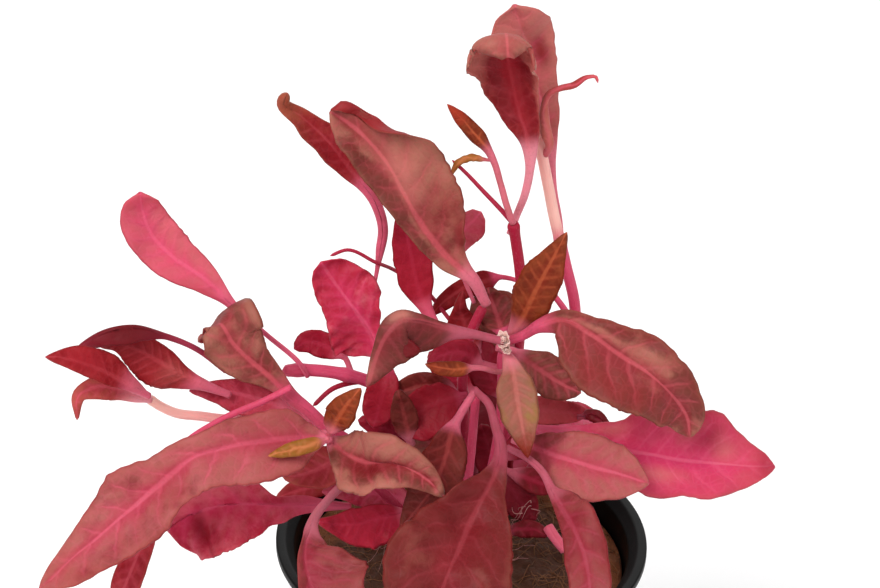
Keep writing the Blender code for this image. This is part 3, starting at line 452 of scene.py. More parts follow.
         half=(0.5, 1.4, 1.7, 1.5, 0.3)),
    leaf("long_lower_left_leaf", "rose_leaf", rib=[
         (326, 439, -9), (300, 438, -10), (267, 441, -11.5), (230, 447, -13), (192, 459, -15),
         (158, 485, -17), (129, 511, -19), (99, 537, -21), (76, 556, -22.5), (56, 574, -23.5),
         (38, 592, -24.5)],
         left=(0.6, 5.4, 5.9, 5.1, 4.7, 6.0, 4.9, 3.4, 0.4),
         right=(0.6, 4.0, 3.8, 3.0, 3.6, 5.4, 3.4, 2.1, 0.4), roll=(-12,), warmth=0.7, tip=0.3,
         stains=[(0.16, 0.0, 0.1, 2.0, 0.2, 0.1, 0.2), (0.5, -0.3, 0.06, 0.5, 0.0, 0.1, 0.2),
                 (0.75, -0.7, 0.2, 0.4, -0.3, 0.1, 0.2)]),
    leaf("small_yellow_leaf", "olive_leaf", rib=[
         (324, 440, -12.5), (310, 445, -14), (290, 450, -14.5), (268, 456, -15)],
         half=(0.3, 1.0, 1.1, 0.8, 0.15)),
    # Its first stain is painted shadow, with deep red, in the crease by its first dent.
    leaf("cupped_crimson_leaf", "pink_leaf", rib=[
         (345, 506, -3), (310, 505, -4.5), (275, 505, -6.5), (242, 504, -8), (210, 508, -9),
         (186, 518, -9.8), (168, 531, -10)],
         left=(0.5, 0.9, 1.4, 2.6, 4.5, 6.3, 7.2, 6.8, 1.6),
         right=(0.5, 0.9, 1.4, 1.2, 2.8, 4.0, 4.2, 3.0, 0.8),
         fold=(12, 12, 16, 26, 30), dents=((0.77, -0.45, 0.035, 0.8, -0.9), (0.9, -0.5, 0.07, 0.5, 0.5)),
         under=True, shade=0.02, veins=0.5, pale=0.1,
         stains=[(0.82, -0.35, 0.04, 0.4, 0.0, 0.45, 0.5), (0.6, -0.3, 0.2, 1.0, 0.0, -0.15, 0.2),
                 (0.35, 0.0, 0.15, 2.0, 0.0, -0.1, 0.1), (0.7, 0.6, 0.2, 0.4, 0.3, -0.1, -0.1)]),
    leaf("trailing_lower_leaf", "salmon_leaf", rib=[
         (286, 390, -6), (268, 399, -6.5), (217, 422, -8), (182, 447, -9.5), (165, 480, -11),
         (151, 520, -12), (137, 556, -14), (124, 588, -16), (113, 614, -17)],
         half=(0.45, 0.45, 0.45, 0.45, 0.5, 0.8, 1.8, 2.1, 0.3), under=True, veins=0.6, pale=0.0),
    leaf("arched_left_leaf", "salmon_leaf", rib=[
         (222, 368, -2), (200, 351, -3.5), (165, 336, -6), (133, 328, -8.3), (108, 332, -9.1),
         (84, 345, -9.3), (66, 366, -8.6)],
         left=(0.4, 0.4, 0.4, 0.45, 1.4, 2.3, 1.6, 0.5, 0.2),
         right=(0.4, 0.4, 0.4, 0.4, 0.4, 0.5, 0.5, 0.45, 0.2), under=True, shade=0.42, veins=0.3, pale=0.0,
         stains=[(0.6, 0.0, 0.25, 3.0, 0.0, 0.4, 0.9)]),
    leaf("far_left_crimson_leaf", "scarlet_leaf", rib=[
         (145, 394, -8), (120, 380, -10.5), (95, 368, -12.5), (70, 360, -13.5), (45, 357, -14)],
         left=(0.5, 1.0, 1.7, 1.6, 0.2), right=(0.5, 1.6, 2.7, 2.2, 0.2), roll=(-15,), under=True,
         veins=0.5, pale=0.2, stains=[(0.7, 0.2, 0.2, 1.0, 0.0, 0.1, 0.6)]),
    leaf("folded_left_leaf", "scarlet_leaf", rib=[
         (225, 393, -3.5), (205, 385, -4.5), (182, 374, -5.5), (160, 362, -6.5), (138, 350, -7),
         (115, 343, -7.5), (98, 346, -7.5)],
         left=(0.5, 0.9, 2.4, 3.6, 3.2, 1.6, 0.3), right=(0.5, 0.7, 1.2, 2.2, 2.4, 1.4, 0.3),
         fold=(-15,), under=True, veins=1.6, pale=0.2,
         stains=[(0.75, 0.3, 0.2, 1.0, 0.0, 0.3, 0.4), (0.45, 0.0, 0.15, 0.7, 0.6, 0.1, -0.2)]),
    leaf("far_left_drooping_leaf", "salmon_leaf", rib=[
         (145, 399, -6), (120, 389, -8), (96, 387, -9.5), (80, 394, -10.5), (77, 420, -11)],
         left=(0.5, 1.4, 1.9, 1.0, 0.2), right=(0.5, 1.2, 1.6, 0.9, 0.2), tip=0.6, veins=0.6, pale=0.8),
    leaf("pink_upper_left_leaf", "pink_leaf", rib=[
         (300, 364, 1.2), (268, 336, 2.6), (238, 311, 3.4), (205, 279, 4), (172, 256, 4.5), (152, 235, 4.8),
         (143, 213, 4.6), (140, 193, 4)],
         left=(0.35, 0.35, 0.35, 0.7, 2.0, 3.0, 3.4, 3.5, 1.8),
         right=(0.35, 0.35, 0.35, 0.8, 1.9, 3.0, 3.8, 3.2, 1.9), under=True, warmth=0.95, veins=0.5,
         pale=0.1,
         stains=[(0.45, -0.8, 0.15, 0.25, 0.0, 0.0, 0.3), (0.97, 0.0, 0.05, 2.0, 0.0, 0.0, 0.35),
                 (0.6, 0.6, 0.3, 0.3, 0.0, 0.0, -0.15)]),
    leaf("brown_upright_left_leaf", "brown_leaf", rib=[
         (326, 430, -5), (311, 413, -4.8), (291, 398, -4.4), (271, 378, -4), (250, 360, -3.6),
         (232, 342, -3.5), (224, 328, -3.3), (221, 325, -2.2), (212, 332, -1.3), (198, 342, -0.8)],
         left=(0.9, 0.9, 0.9, 1.0, 1.7, 2.8, 3.6, 4.0, 2.8, 1.8, 0.4),
         right=(0.9, 0.9, 1.1, 1.4, 1.9, 2.8, 3.9, 4.9, 5.2, 3.0, 0.4), turned_over=True, veins=0.9,
         pale=0.0),
    leaf("pinkish_under_leaf", "rose_leaf", rib=[
         (312, 419, -3), (285, 408, -2.5), (258, 399, -2), (230, 392, -2), (205, 390, -2.5),
         (189, 391, -3)],
         left=(0.5, 1.0, 2.4, 2.9, 1.8, 0.3), right=(0.5, 0.8, 1.8, 2.0, 1.4, 0.3), under=True),
    leaf("small_olive_leaf", "bronze_leaf", rib=[
         (330, 432, -9), (338, 418, -10.5), (348, 403, -11.5), (361, 388, -12)],
         half=(0.4, 1.7, 2.1, 1.5, 0.2)),
    leaf("inner_rear_leaf", "scarlet_leaf", rib=[
         (478, 350, 8), (467, 328, 8.7), (460, 307, 9), (463, 291, 9.2)],
         left=(0.5, 3.4, 2.8, 0.9, 0.3), right=(0.5, 1.6, 1.6, 1.0, 0.3), under=True, shade=0.25),
    leaf("rear_leaf_left", "crimson_leaf", rib=[
         (446, 470, 7.5), (447, 435, 9), (448, 400, 10.5), (446, 366, 12), (441, 340, 13.5)],
         half=(0.6, 1.8, 2.3, 2.4, 1.8, 0.4), under=True, shade=0.3),
    leaf("rear_leaf_middle", "crimson_leaf", rib=[
         (474, 470, 9), (472, 420, 14), (470, 380, 21), (468, 352, 29), (466, 342, 37)],
         half=(0.6, 3.4, 5.0, 4.2, 2.4, 0.4), under=True, shade=0.55),
    leaf("rear_leaf_right", "pink_leaf", rib=[
         (502, 480, 12), (530, 448, 16), (556, 428, 21), (580, 420, 26), (600, 425, 31)],
         half=(0.6, 2.4, 3.4, 3.2, 2.0, 0.4), under=True, shade=0.2),
    leaf("inner_brown_leaf", "dark_leaf", rib=[
         (458, 397, 2.2), (444, 389, 2.1), (424, 386, 1.8), (404, 391, 1.4), (388, 402, 0.9)],
         half=(0.5, 1.6, 2.0, 1.6, 0.3)),
]

# Thin bare stalks and cut stubs.
SHOOTS = [
    stem("thin_magenta_stalk", base=0.36, top=0.24, pale=(0.12,), path=[
         (511, 221, 9.5), (503, 212, 9.8), (484, 192, 10.4), (464, 171, 11), (452, 160, 11.5)]),
    stem("arching_shoot", base=0.3, top=0.24, pale=(0.1,), path=[
         (450, 320, 10), (425, 290, 13), (396, 271, 12.5), (375, 262, 9), (346, 250, 8.5), (330, 256, 8)]),
    stem("left_magenta_stalk", base=0.4, top=0.32, pale=(0.05,), path=[
         (365, 381, 5), (350, 383, 4.6), (334, 388, 4), (313, 406, 2)]),
    stem("lower_left_stalk", base=0.4, top=0.32, pale=(0.1,), path=[
         (262, 417, -0.6), (250, 418, -1), (236, 421, -2), (220, 433, -4), (208, 447, -7)]),
    stem("small_pink_stalk", base=0.5, top=0.4, pale=(0.35,), path=[
         (572, 322, 13.5), (562, 306, 12.5), (550, 290, 12)]),
    stem("salmon_stub", base=0.75, top=0.75, pale=(0.55,), path=[
         (548, 527, -6.5), (553, 535, -7.5), (559, 543, -8.5), (567, 552, -9.5)]),
    stem("pale_stub", base=0.7, top=0.65, pale=(0.8,), path=[
         (388, 512, -6), (393, 521, -8), (397, 531, -9.5)]),
]

# Tufts of hair roots: how many hairs, and where the tuft starts and ends.
ROOT_TUFTS = [
    dict(count=9, path=[(394, 528, -9), (376, 550, -4)]),
    dict(count=7, path=[(390, 516, -6.5), (378, 528, -3)]),
    dict(count=6, path=[(528, 508, -2), (516, 522, 0)]),
]

# Small leaves deep inside the plant, too thin and small for solids of their own. Their shade is painted shade
# from the leaves around them.
INNER_LEAVES = [
    leaf("low_shaded_leaf", "crimson_leaf", rib=[
         (500, 474, 2), (512, 490, 1.2), (524, 506, 0.2), (536, 520, -1)],
         half=(0.5, 2.0, 2.6, 2.2, 0.4), under=True, shade=0.55),
    leaf("low_inner_leaf", "crimson_leaf", rib=[
         (508, 532, -3.5), (522, 529, -4.5), (536, 530, -5.5), (548, 536, -6.5)],
         half=(0.4, 1.0, 1.3, 1.1, 0.3), shade=0.4),
    leaf("curled_dark_leaf", "crimson_leaf", rib=[
         (583, 416, 1), (592, 415, 0.4), (601, 420, -0.4), (608, 431, -1)],
         half=(0.4, 0.9, 1.1, 0.8, 0.2), fold=(30,), shade=0.5),
    leaf("shaded_stalk_leaf", "crimson_leaf", rib=[
         (520, 420, 4.5), (534, 424, 4.2), (548, 423, 3.8), (562, 416, 3.5)],
         half=(0.4, 1.4, 1.8, 1.2, 0.3), under=True, shade=0.6),
    leaf("inner_bronze_leaf", "brown_leaf", rib=[
         (512, 350, 8), (500, 332, 10.5), (488, 312, 12), (476, 294, 13)],
         left=(0.6, 3.4, 4.6, 3.2, 0.6), right=(0.6, 3.4, 4.6, 4.2, 0.8), shade=0.2),
    leaf("inner_scarlet_leaf", "crimson_leaf", rib=[
         (474, 396, 8.8), (458, 378, 9.6), (443, 364, 10.6), (429, 352, 12)],
         half=(0.5, 1.8, 2.4, 2.0, 0.5), under=True, shade=0.15),
    leaf("inner_dark_leaf", "crimson_leaf", rib=[
         (505, 398, 5.2), (492, 378, 6.4), (482, 356, 7.4), (474, 340, 9)],
         half=(0.5, 2.2, 3.0, 2.4, 0.6), under=True, shade=0.4),
    leaf("low_rear_leaf", "crimson_leaf", rib=[
         (432, 462, 3.2), (412, 446, 3), (392, 432, 2.6), (372, 424, 2.2), (358, 420, 2)],
         left=(0.5, 2.0, 2.4, 2.2, 1.6, 0.5), right=(0.5, 2.6, 3.6, 3.4, 2.0, 0.5), under=True, shade=0.25),
    leaf("low_brown_leaf", "brown_leaf", rib=[
         (452, 474, 0.8), (436, 452, 0.2), (422, 434, -0.6), (410, 420, -1)],
         half=(0.5, 2.0, 3.0, 2.4, 0.5), shade=0.4),
    leaf("gap_crimson_leaf", "crimson_leaf", rib=[
         (480, 364, 0), (463, 353, -0.6), (445, 354, -1.2), (427, 366, -1.6)],
         half=(0.6, 1.8, 2.0, 1.4, 0.4), under=True, shade=0.25),
    leaf("gap_dark_leaf", "dark_leaf", rib=[
         (410, 440, -3.4), (406, 424, -3.6), (402, 406, -3.8), (398, 390, -4)],
         half=(0.6, 1.6, 1.9, 1.5, 0.4), shade=0.2),
    leaf("low_side_leaf", "crimson_leaf", rib=[
         (510, 472, 1.5), (527, 478, 1.2), (543, 484, 0.9), (558, 488, 0.6)],
         half=(0.5, 1.4, 1.9, 1.6, 0.4), shade=0.15),
    leaf("low_salmon_leaf", "salmon_leaf", rib=[
         (348, 452, -5.5), (332, 462, -6), (314, 471, -6.6), (296, 476, -7.2), (282, 476, -7.6)],
         half=(0.5, 2.4, 3.0, 2.4, 1.4, 0.4)),
    leaf("low_pink_leaf", "pink_leaf", rib=[
         (412, 506, -1.5), (392, 496, -2), (368, 492, -2.6), (344, 490, -3.2), (322, 492, -3.6)],
         half=(0.5, 1.6, 2.4, 2.2, 1.4, 0.4), under=True, shade=0.15),
    leaf("crown_rear_leaf", "crimson_leaf", rib=[
         (508, 492, 6), (497, 468, 7), (488, 446, 8), (481, 424, 9)],
         half=(0.5, 2.0, 2.8, 2.4, 0.6), under=True, shade=0.4),
    leaf("crown_side_leaf", "crimson_leaf", rib=[
         (500, 458, 3), (518, 447, 2.6), (536, 438, 2), (552, 437, 1.6)],
         half=(0.5, 1.5, 2.0, 1.6, 0.4), under=True, shade=0.2),
]


def paint_value(red, green, blue):
    """A screen colour of 0 to 255 as a linear one."""
    part = np.array([red, green, blue]) / 255.0
    return tuple(np.where(part <= 0.04045, part / 12.92, ((part + 0.055) / 1.055) ** 2.4))


# Screen colours of each kind of leaf: its face, the face's patches, the flush along the midrib, the veins,
# the margin, the underside with its patches, and the aged tip.
LEAF_COLOURS = {
    "brown_leaf": ((108, 50, 42), (150, 90, 76), (138, 38, 48), (194, 82, 92), (118, 78, 60),
                   (116, 14, 22), (140, 36, 38), (150, 78, 54)),
    "rose_leaf": ((126, 52, 52), (160, 84, 80), (174, 52, 76), (208, 88, 110), (138, 72, 60),
                  (154, 36, 54), (176, 60, 76), (160, 76, 66)),
    "pink_leaf": ((174, 74, 84), (188, 54, 84), (208, 52, 100), (222, 96, 128), (164, 62, 68),
                  (172, 34, 60), (192, 82, 96), (180, 72, 78)),
    "crimson_leaf": ((128, 26, 36), (118, 34, 36), (158, 24, 52), (180, 48, 74), (120, 34, 32),
                     (138, 12, 34), (158, 28, 50), (140, 40, 38)),
    "scarlet_leaf": ((128, 28, 32), (122, 46, 40), (146, 22, 36), (186, 66, 74), (128, 44, 36),
                     (124, 10, 18), (142, 30, 34), (140, 50, 42)),
    "salmon_leaf": ((158, 54, 54), (170, 76, 66), (182, 52, 72), (204, 86, 98), (150, 68, 54),
                    (140, 24, 34), (166, 50, 58), (140, 38, 34)),
    "bronze_leaf": ((106, 36, 12), (128, 56, 24), (128, 38, 18), (182, 88, 52), (112, 46, 18),
                    (120, 30, 14), (140, 52, 26), (156, 48, 30)),
    "olive_leaf": ((134, 84, 26), (154, 92, 40), (160, 76, 42), (192, 116, 70), (134, 76, 28),
                   (140, 72, 30), (160, 90, 44), (154, 74, 38)),
    "tan_leaf": ((140, 88, 70), (138, 100, 54), (150, 76, 68), (182, 100, 92), (132, 82, 56),
                 (160, 84, 70), (174, 98, 84), (118, 24, 8)),
    "dark_leaf": ((92, 24, 20), (106, 40, 32), (108, 22, 26), (156, 62, 60), (96, 42, 32),
                  (90, 10, 12), (108, 24, 24), (100, 32, 22)),
}
# Painted shade that darkens leaves behind and under others and in their hollows and creases, the deep red,
# and the pale tone of stains below zero: the leaves' own paleness in places, a painted highlight in others.
PAINTED_SHADE_COLOUR = paint_value(70, 6, 10)
DEEP_LEAF_COLOUR = paint_value(152, 18, 32)
PALE_AND_HIGHLIGHT_COLOUR = paint_value(206, 128, 116)
STALK_COLOUR = paint_value(206, 74, 108)
PALE_STALK_COLOUR = paint_value(242, 172, 180)
PALE_STEM_COLOUR = paint_value(244, 194, 180)
DEEP_STALK_COLOUR = paint_value(156, 20, 50)


class Socket:
    """A shader socket on which Python's operators add Math nodes."""

    def __init__(self, paint, socket):
        self.paint = paint
        self.socket = socket

    def math(self, operation, *values):
        return self.paint.node("ShaderNodeMath", {"operation": operation}, dict(enumerate(values)))

    def __add__(self, other):
        return self.math("ADD", self, other)

    __radd__ = __add__

    def __sub__(self, other):
        return self.math("SUBTRACT", self, other)

    def __rsub__(self, other):
        return self.math("SUBTRACT", other, self)

    def __mul__(self, other):
        return self.math("MULTIPLY", self, other)

    __rmul__ = __mul__

    def __truediv__(self, other):
        return self.math("DIVIDE", self, other)

    def __abs__(self):
        return self.math("ABSOLUTE", self)

    def __gt__(self, other):
        return self.math("GREATER_THAN", self, other)

    def fraction(self):
        return self.math("FRACT", self)


class Paint:
    """A material's shader nodes, added from Python expressions."""

    def __init__(self, name):
        self.material = bpy.data.materials.new(name)
        self.material.use_nodes = True
        self.tree = self.material.node_tree
        self.tree.nodes.clear()

    def node(self, kind, settings=None, inputs=None, output=0):
        """Adds a node: its settings first, then the values or links of its sockets."""
        made = self.tree.nodes.new(kind)
        for key, value in (settings or {}).items():
            setattr(made, key, value)
        for key, value in (inputs or {}).items():
            if isinstance(value, Socket):
                self.tree.links.new(value.socket, made.inputs[key])
            else:
                made.inputs[key].default_value = value
        return Socket(self, made.outputs[output])

    def mix(self, amount, low, high):
        """low where the amount is nought and high where it is one, as colours."""
        low, high = ((*value, 1.0) if isinstance(value, tuple) else value for value in (low, high))
        return self.node("ShaderNodeMix", {"data_type": "RGBA"}, {0: amount, 6: low, 7: high}, output=2)

    def coated(self, colour, *coats):
        """The colour with each (amount, coat) laid over it in turn."""
        for amount, coat in coats:
            colour = self.mix(amount, colour, coat)
        return colour

    def step(self, value, low, high):
        """A smooth rise from nought at low to one at high."""
        return self.node("ShaderNodeMapRange", {"interpolation_type": "SMOOTHSTEP"},
                         {"Value": value, "From Min": low, "From Max": high})

    def noise(self, where, scale, detail=3.0, roughness=0.55):
        """Soft noise from nought to one."""
        return self.node("ShaderNodeTexNoise", None,
                         {"Vector": where, "Scale": scale, "Detail": detail, "Roughness": roughness})

    def cells(self, where, scale):
        """The distance to the nearest border between random cells."""
        return self.node("ShaderNodeTexVoronoi", {"feature": "DISTANCE_TO_EDGE"},
                         {"Vector": where, "Scale": scale})

    def attribute(self, name):
        """A vector that the mesh holds at its points."""
        return self.node("ShaderNodeAttribute", {"attribute_name": name}, output=1)

    def parts(self, vector):
        """The three numbers of a vector."""
        split = self.node("ShaderNodeSeparateXYZ", None, {0: vector}).socket.node
        return [Socket(self, out) for out in split.outputs]

    def joined(self, x, y, z):
        """A vector of three numbers."""
        return self.node("ShaderNodeCombineXYZ", None, {0: x, 1: y, 2: z})

    def place(self):
        """The point on the surface, in the piece's own metres."""
        return self.node("ShaderNodeTexCoord", output=3)

    def bump(self, height, strength, distance):
        """A normal that leans with the height."""
        return self.node("ShaderNodeBump", None,
                         {"Height": height, "Strength": strength, "Distance": distance})

    def finish(self, **sockets):
        """Ends the material in one Principled shader with these sockets."""
        inputs = {key.replace("_", " "): value for key, value in sockets.items()}
        for key, value in inputs.items():
            if key == "Base Color" and isinstance(value, tuple):
                inputs[key] = (*value, 1.0)
        shader = self.node("ShaderNodeBsdfPrincipled", None, inputs)
        end = self.tree.nodes.new("ShaderNodeOutputMaterial")
        self.tree.links.new(shader.socket, end.inputs["Surface"])
        return self.material


def leaf_material(kind):
    """Leaf skin: patchy face and underside, soft side veins from a midrib, a faint net and a thin margin,
    under painted shade and painted highlights.
    """
    face, patch, flush, vein, margin, under, under_patch, tip = (paint_value(*c) for c in LEAF_COLOURS[kind])
    look = bpy.context.scene.plant_leaves
    paint = Paint(kind)
    along, across, half = paint.parts(paint.attribute("blade"))
    count, share, spacing = paint.parts(paint.attribute("veins"))
    seed, upper, warmth = paint.parts(paint.attribute("tone"))
    blade, aged, shade = paint.parts(paint.attribute("body"))
    veined, pale, deep = paint.parts(paint.attribute("marks"))
    out = abs(across)
    edge = out / (half + 0.01)
    skin = paint.joined(along, across, seed * 40.0)
    cloud = paint.noise(skin, 0.13, detail=2.0)
    mottle = paint.noise(skin, 0.42, detail=5.0, roughness=0.6)
    grain = paint.noise(skin, 2.6, detail=3.0, roughness=0.6)
    drift = paint.noise(paint.joined(along, across, seed * 17.0 + 5.0), 0.3, detail=2.0)
    phase = (count + (across > 0.0) * 0.5 + (drift - 0.5) * 0.7).fraction()
    off = abs(phase - 0.5) * spacing
    inner = 1.0 - paint.step(edge, 0.55, 0.98)
    seen = paint.step(drift, 0.3, 0.6) * 0.75 + 0.25
    side_vein = (1.0 - paint.step(off, 0.04, 0.6 - edge * 0.3)) * inner * seen * blade * veined
    halo = (1.0 - paint.step(off, 0.1, spacing * 0.5)) * inner
    middle = (1.0 - share * 0.66) * look.vein_width
    rib = 1.0 - paint.step(out, middle * 0.3, middle * 1.15)
    near = 1.0 - paint.step(edge + (mottle - 0.5) * 0.5, 0.02, 0.5)
    net = 1.0 - paint.step(paint.cells(skin, 0.8), 0.02, 0.16)
    patches = paint.step(cloud + (warmth - 0.5) * 0.55 + (mottle - 0.5) * 0.5, 0.4, 0.62)
    under_patches = paint.step(mottle + (warmth - 0.5) * 0.5, 0.36, 0.66)
    top = paint.coated(face, (patches, patch), (near * 0.7, flush), (halo * 0.3, flush),
                       (side_vein * 0.34, vein), (net * 0.1, vein),
                       (paint.step(edge, 0.84, 1.0) * 0.6, margin), (rib * 0.6, vein))
    low = paint.coated(under, (under_patches, under_patch), (halo * 0.22 + near * 0.3, flush),
                       (side_vein * 0.24, vein), (net * 0.08, vein), (rib * 0.42, vein))
    stalk = paint.coated(STALK_COLOUR, (paint.step(mottle, 0.4, 0.7) * 0.5, flush),
                         (pale * 0.9, PALE_STALK_COLOUR))
    turned = paint.step(share + (mottle - 0.5) * 0.3, 0.72, 0.95) * aged
    speckled = paint.step(grain, 0.5, 0.75) * 0.22 * (1.0 - deep)
    # Over the leaf's own colours go the deep red, then the pale tone where deep is below zero, which is the
    # leaf's own paleness in places and a painted highlight in others, and last the painted shade.
    colour = paint.coated(low, (upper, top), (turned, tip), ((1.0 - blade) * 0.85, stalk), (speckled, face),
                          (deep, DEEP_LEAF_COLOUR), (0.0 - deep, PALE_AND_HIGHLIGHT_COLOUR), (shade, PAINTED_SHADE_COLOUR))
    relief = mottle * 0.5 + grain * 0.3 - net * 0.25 - side_vein * (upper * 1.4 - 0.7)
    return paint.finish(
        Base_Color=colour,
        Roughness=0.38 + mottle * 0.24,
        IOR=1.4,
        Specular_IOR_Level=0.18,
        Subsurface_Weight=look.glow,
        Subsurface_Radius=(1.0, 0.25, 0.25),
        Subsurface_Scale=0.0008,
        Normal=paint.bump(relief * blade, 0.5, 0.00016),
    )


def stem_material():
    """Stem skin: deep crimson, pink or nearly white by its paleness, with fine streaks and pale flecks."""
    paint = Paint("stem_skin")
    along, turn, pale = paint.parts(paint.attribute("skin"))
    where = paint.joined(along * 0.25, turn * 9.0, pale * 2.0)
    streak = paint.noise(where, 1.4, detail=4.0)
    fleck = paint.noise(paint.joined(along, turn * 6.0, 3.0), 2.6, detail=2.0)
    colour = paint.coated(DEEP_STALK_COLOUR, (paint.step(pale, 0.0, 0.45), STALK_COLOUR),
                          (paint.step(pale, 0.45, 1.0), PALE_STEM_COLOUR),
                          (paint.step(streak, 0.45, 0.8) * (0.5 - pale * 0.4), DEEP_STALK_COLOUR),
                          (paint.step(fleck, 0.5, 0.85) * 0.12, PALE_STALK_COLOUR))
    return paint.finish(
        Base_Color=colour,
        Roughness=0.38 + streak * 0.2,
        IOR=1.4,
        Specular_IOR_Level=0.22,
        Subsurface_Weight=0.3,
        Subsurface_Radius=(1.0, 0.35, 0.35),
        Subsurface_Scale=0.001,
        Normal=paint.bump(streak, 0.35, 0.00012),
    )


def cup_material():
    """Black moulded plastic with a fine satin grain, dusty on the lip."""
    paint = Paint("black_moulded_plastic")
    place = paint.place()
    grain = paint.noise(place, 2200.0, detail=3.0)
    scuff = paint.noise(place, 160.0, detail=5.0, roughness=0.7)
    colour = paint.mix(paint.step(scuff, 0.5, 0.8), paint_value(4, 4, 4), paint_value(20, 18, 17))
    return paint.finish(
        Base_Color=colour,
        Roughness=0.34 + scuff * 0.24,
        Specular_IOR_Level=0.12,
        Normal=paint.bump(grain + scuff * 0.6, 0.25, 0.00006),
    )


def wrap_material():
    """Bare pale film with faint creases and cloudy gloss."""
    paint = Paint("pale_bare_film")
    place = paint.place()
    cloud = paint.noise(place, 90.0, detail=4.0)
    crease = paint.noise(place, 420.0, detail=2.0)
    colour = paint.mix(cloud, paint_value(216, 216, 220), paint_value(236, 236, 238))
    return paint.finish(
        Base_Color=colour,
        Roughness=0.22 + cloud * 0.16,
        Coat_Weight=0.3,
        Coat_Roughness=0.12,
        Normal=paint.bump(cloud + crease * 0.25, 0.2, 0.0003),
    )


def peat_material():
    """Brown peat and coir crumb with pale specks, and painted shade that darkens its middle round the stems,
    under the leaves.
    """
    paint = Paint("brown_peat")
    place = paint.place()
    lump = paint.noise(place, 320.0, detail=6.0, roughness=0.7)
    crumb = paint.noise(place, 1500.0, detail=3.0)
    speck = paint.step(paint.noise(place, 900.0, detail=2.0), 0.62, 0.72)
    x, y, _ = paint.parts(place)
    # Painted shade: the middle of the plug under the leaves is darkened towards black brown.
    reach = x * x + y * y + (lump - 0.5) * 0.0002
    plug_shade = 1.0 - paint.step(reach, SHADE_RADIUS**2 * MM**2, SHADE_END_RADIUS**2 * MM**2)
    colour = paint.coated(paint_value(70, 32, 8), (lump, paint_value(142, 78, 28)),
                          (speck * 0.6, paint_value(132, 92, 52)), (plug_shade * 0.7, paint_value(34, 14, 8)))
    return paint.finish(
        Base_Color=colour,
        Roughness=0.78 + crumb * 0.2,
        Normal=paint.bump(lump + crumb * 0.4, 0.8, 0.0006),
    )


def fibre_material(name, dark, light):
    """Dry fibre that runs from a dark to a light tone along its length."""
    paint = Paint(name)
    along, turn, tone = paint.parts(paint.attribute("skin"))
    streak = paint.noise(paint.joined(along * 0.6, turn * 5.0, tone * 30.0), 2.0, detail=3.0)
    colour = paint.mix(tone * 0.6 + streak * 0.5, dark, light)
    return paint.finish(Base_Color=colour, Roughness=0.6 + streak * 0.25,
                        Normal=paint.bump(streak, 0.4, 0.00006))


def papery_material():
    """Dry papery flower scales, cream with pink and brown at the tips."""
    paint = Paint("papery_scales")
    along, across, tone = paint.parts(paint.attribute("skin"))
    streak = paint.noise(paint.joined(along * 0.5, across * 9.0, tone * 20.0), 1.5, detail=3.0)
    colour = paint.coated(paint_value(252, 224, 212), (streak, paint_value(240, 190, 178)),
                          (paint.step(along, 0.7, 1.0) * 0.3, paint_value(206, 140, 120)))
    return paint.finish(Base_Color=colour, Roughness=0.5 + streak * 0.2, Subsurface_Weight=0.3,
                        Subsurface_Radius=(1.0, 0.6, 0.5), Subsurface_Scale=0.001,
                        Normal=paint.bump(streak, 0.4, 0.00006))


def linked(name, data):
    """A new object of the scene that holds a mesh, a camera or a light."""
    made = bpy.data.objects.new(name, data)
    bpy.context.scene.collection.objects.link(made)
    return made


def new_mesh(name, points, quads, triangles=(), attributes=None):
    """A smooth mesh object at the origin from points in millimetres and corner numbers of its faces."""
    quads = np.asarray(quads, np.int32).reshape(-1, 4)
    triangles = np.asarray(triangles, np.int32).reshape(-1, 3)
    mesh = bpy.data.meshes.new(name)
    mesh.vertices.add(len(points))
    mesh.vertices.foreach_set("co", (np.asarray(points) * MM).astype(np.float32).ravel())
    corners = np.concatenate([quads.ravel(), triangles.ravel()])
    sizes = np.concatenate([np.full(len(quads), 4), np.full(len(triangles), 3)])
    mesh.loops.add(len(corners))
    mesh.loops.foreach_set("vertex_index", corners)
    mesh.polygons.add(len(sizes))
    mesh.polygons.foreach_set("loop_start", np.concatenate([[0], np.cumsum(sizes)[:-1]]))
    mesh.polygons.foreach_set("loop_total", sizes)
    mesh.polygons.foreach_set("use_smooth", np.ones(len(sizes), bool))
    mesh.update(calc_edges=True)
    for key, values in (attributes or {}).items():
        held = mesh.attributes.new(key, "FLOAT_VECTOR", "POINT")
        held.data.foreach_set("vector", np.asarray(values, np.float32).ravel())
    return linked(name, mesh)


def dressed(piece, material, slot, *nodes):
    """Gives a piece its material, sets it riding and lets it stand for CAD nodes. slot is not used."""
    piece.data.materials.append(material)
    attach(piece, BODY)
    if nodes:
        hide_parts(*nodes)
    return piece


def ring_faces(rings, sides):
    """Quads that join rings of points and triangles that close both ends at a pole.

    The rings' points come first, then the pole before the first ring and the pole after the last one.
    """
    corner = np.arange(rings * sides).reshape(rings, sides)
    after = np.roll(corner, -1, axis=1)
    quads = np.stack([corner[:-1], after[:-1], after[1:], corner[1:]], axis=-1)
    first = np.full(sides, rings * sides)
    start = np.stack([after[0], corner[0], first], axis=-1)
    end = np.stack([corner[-1], after[-1], first + 1], axis=-1)
    return quads.reshape(-1, 4), np.concatenate([start, end])


def tube_rings(path, radius, sides, upright):
    """Rings round a path: path + r (cos a side + sin a rise), with side = tangent x upright."""
    tangent = unit(np.gradient(path, axis=-2))
    side = unit(np.cross(tangent, upright))
    rise = np.cross(tangent, side)
    a = turns(sides)[:, None]
    ring = np.cos(a) * side[..., None, :] + np.sin(a) * rise[..., None, :]
    return path[..., None, :] + np.asarray(radius)[..., None] * ring, a[:, 0]


def closed_rings(top, bottom):
    """Rings that run over the top and back along the bottom, without the bottom's two margins."""
    return np.concatenate([top, bottom[..., -2:0:-1, :]], axis=-2)


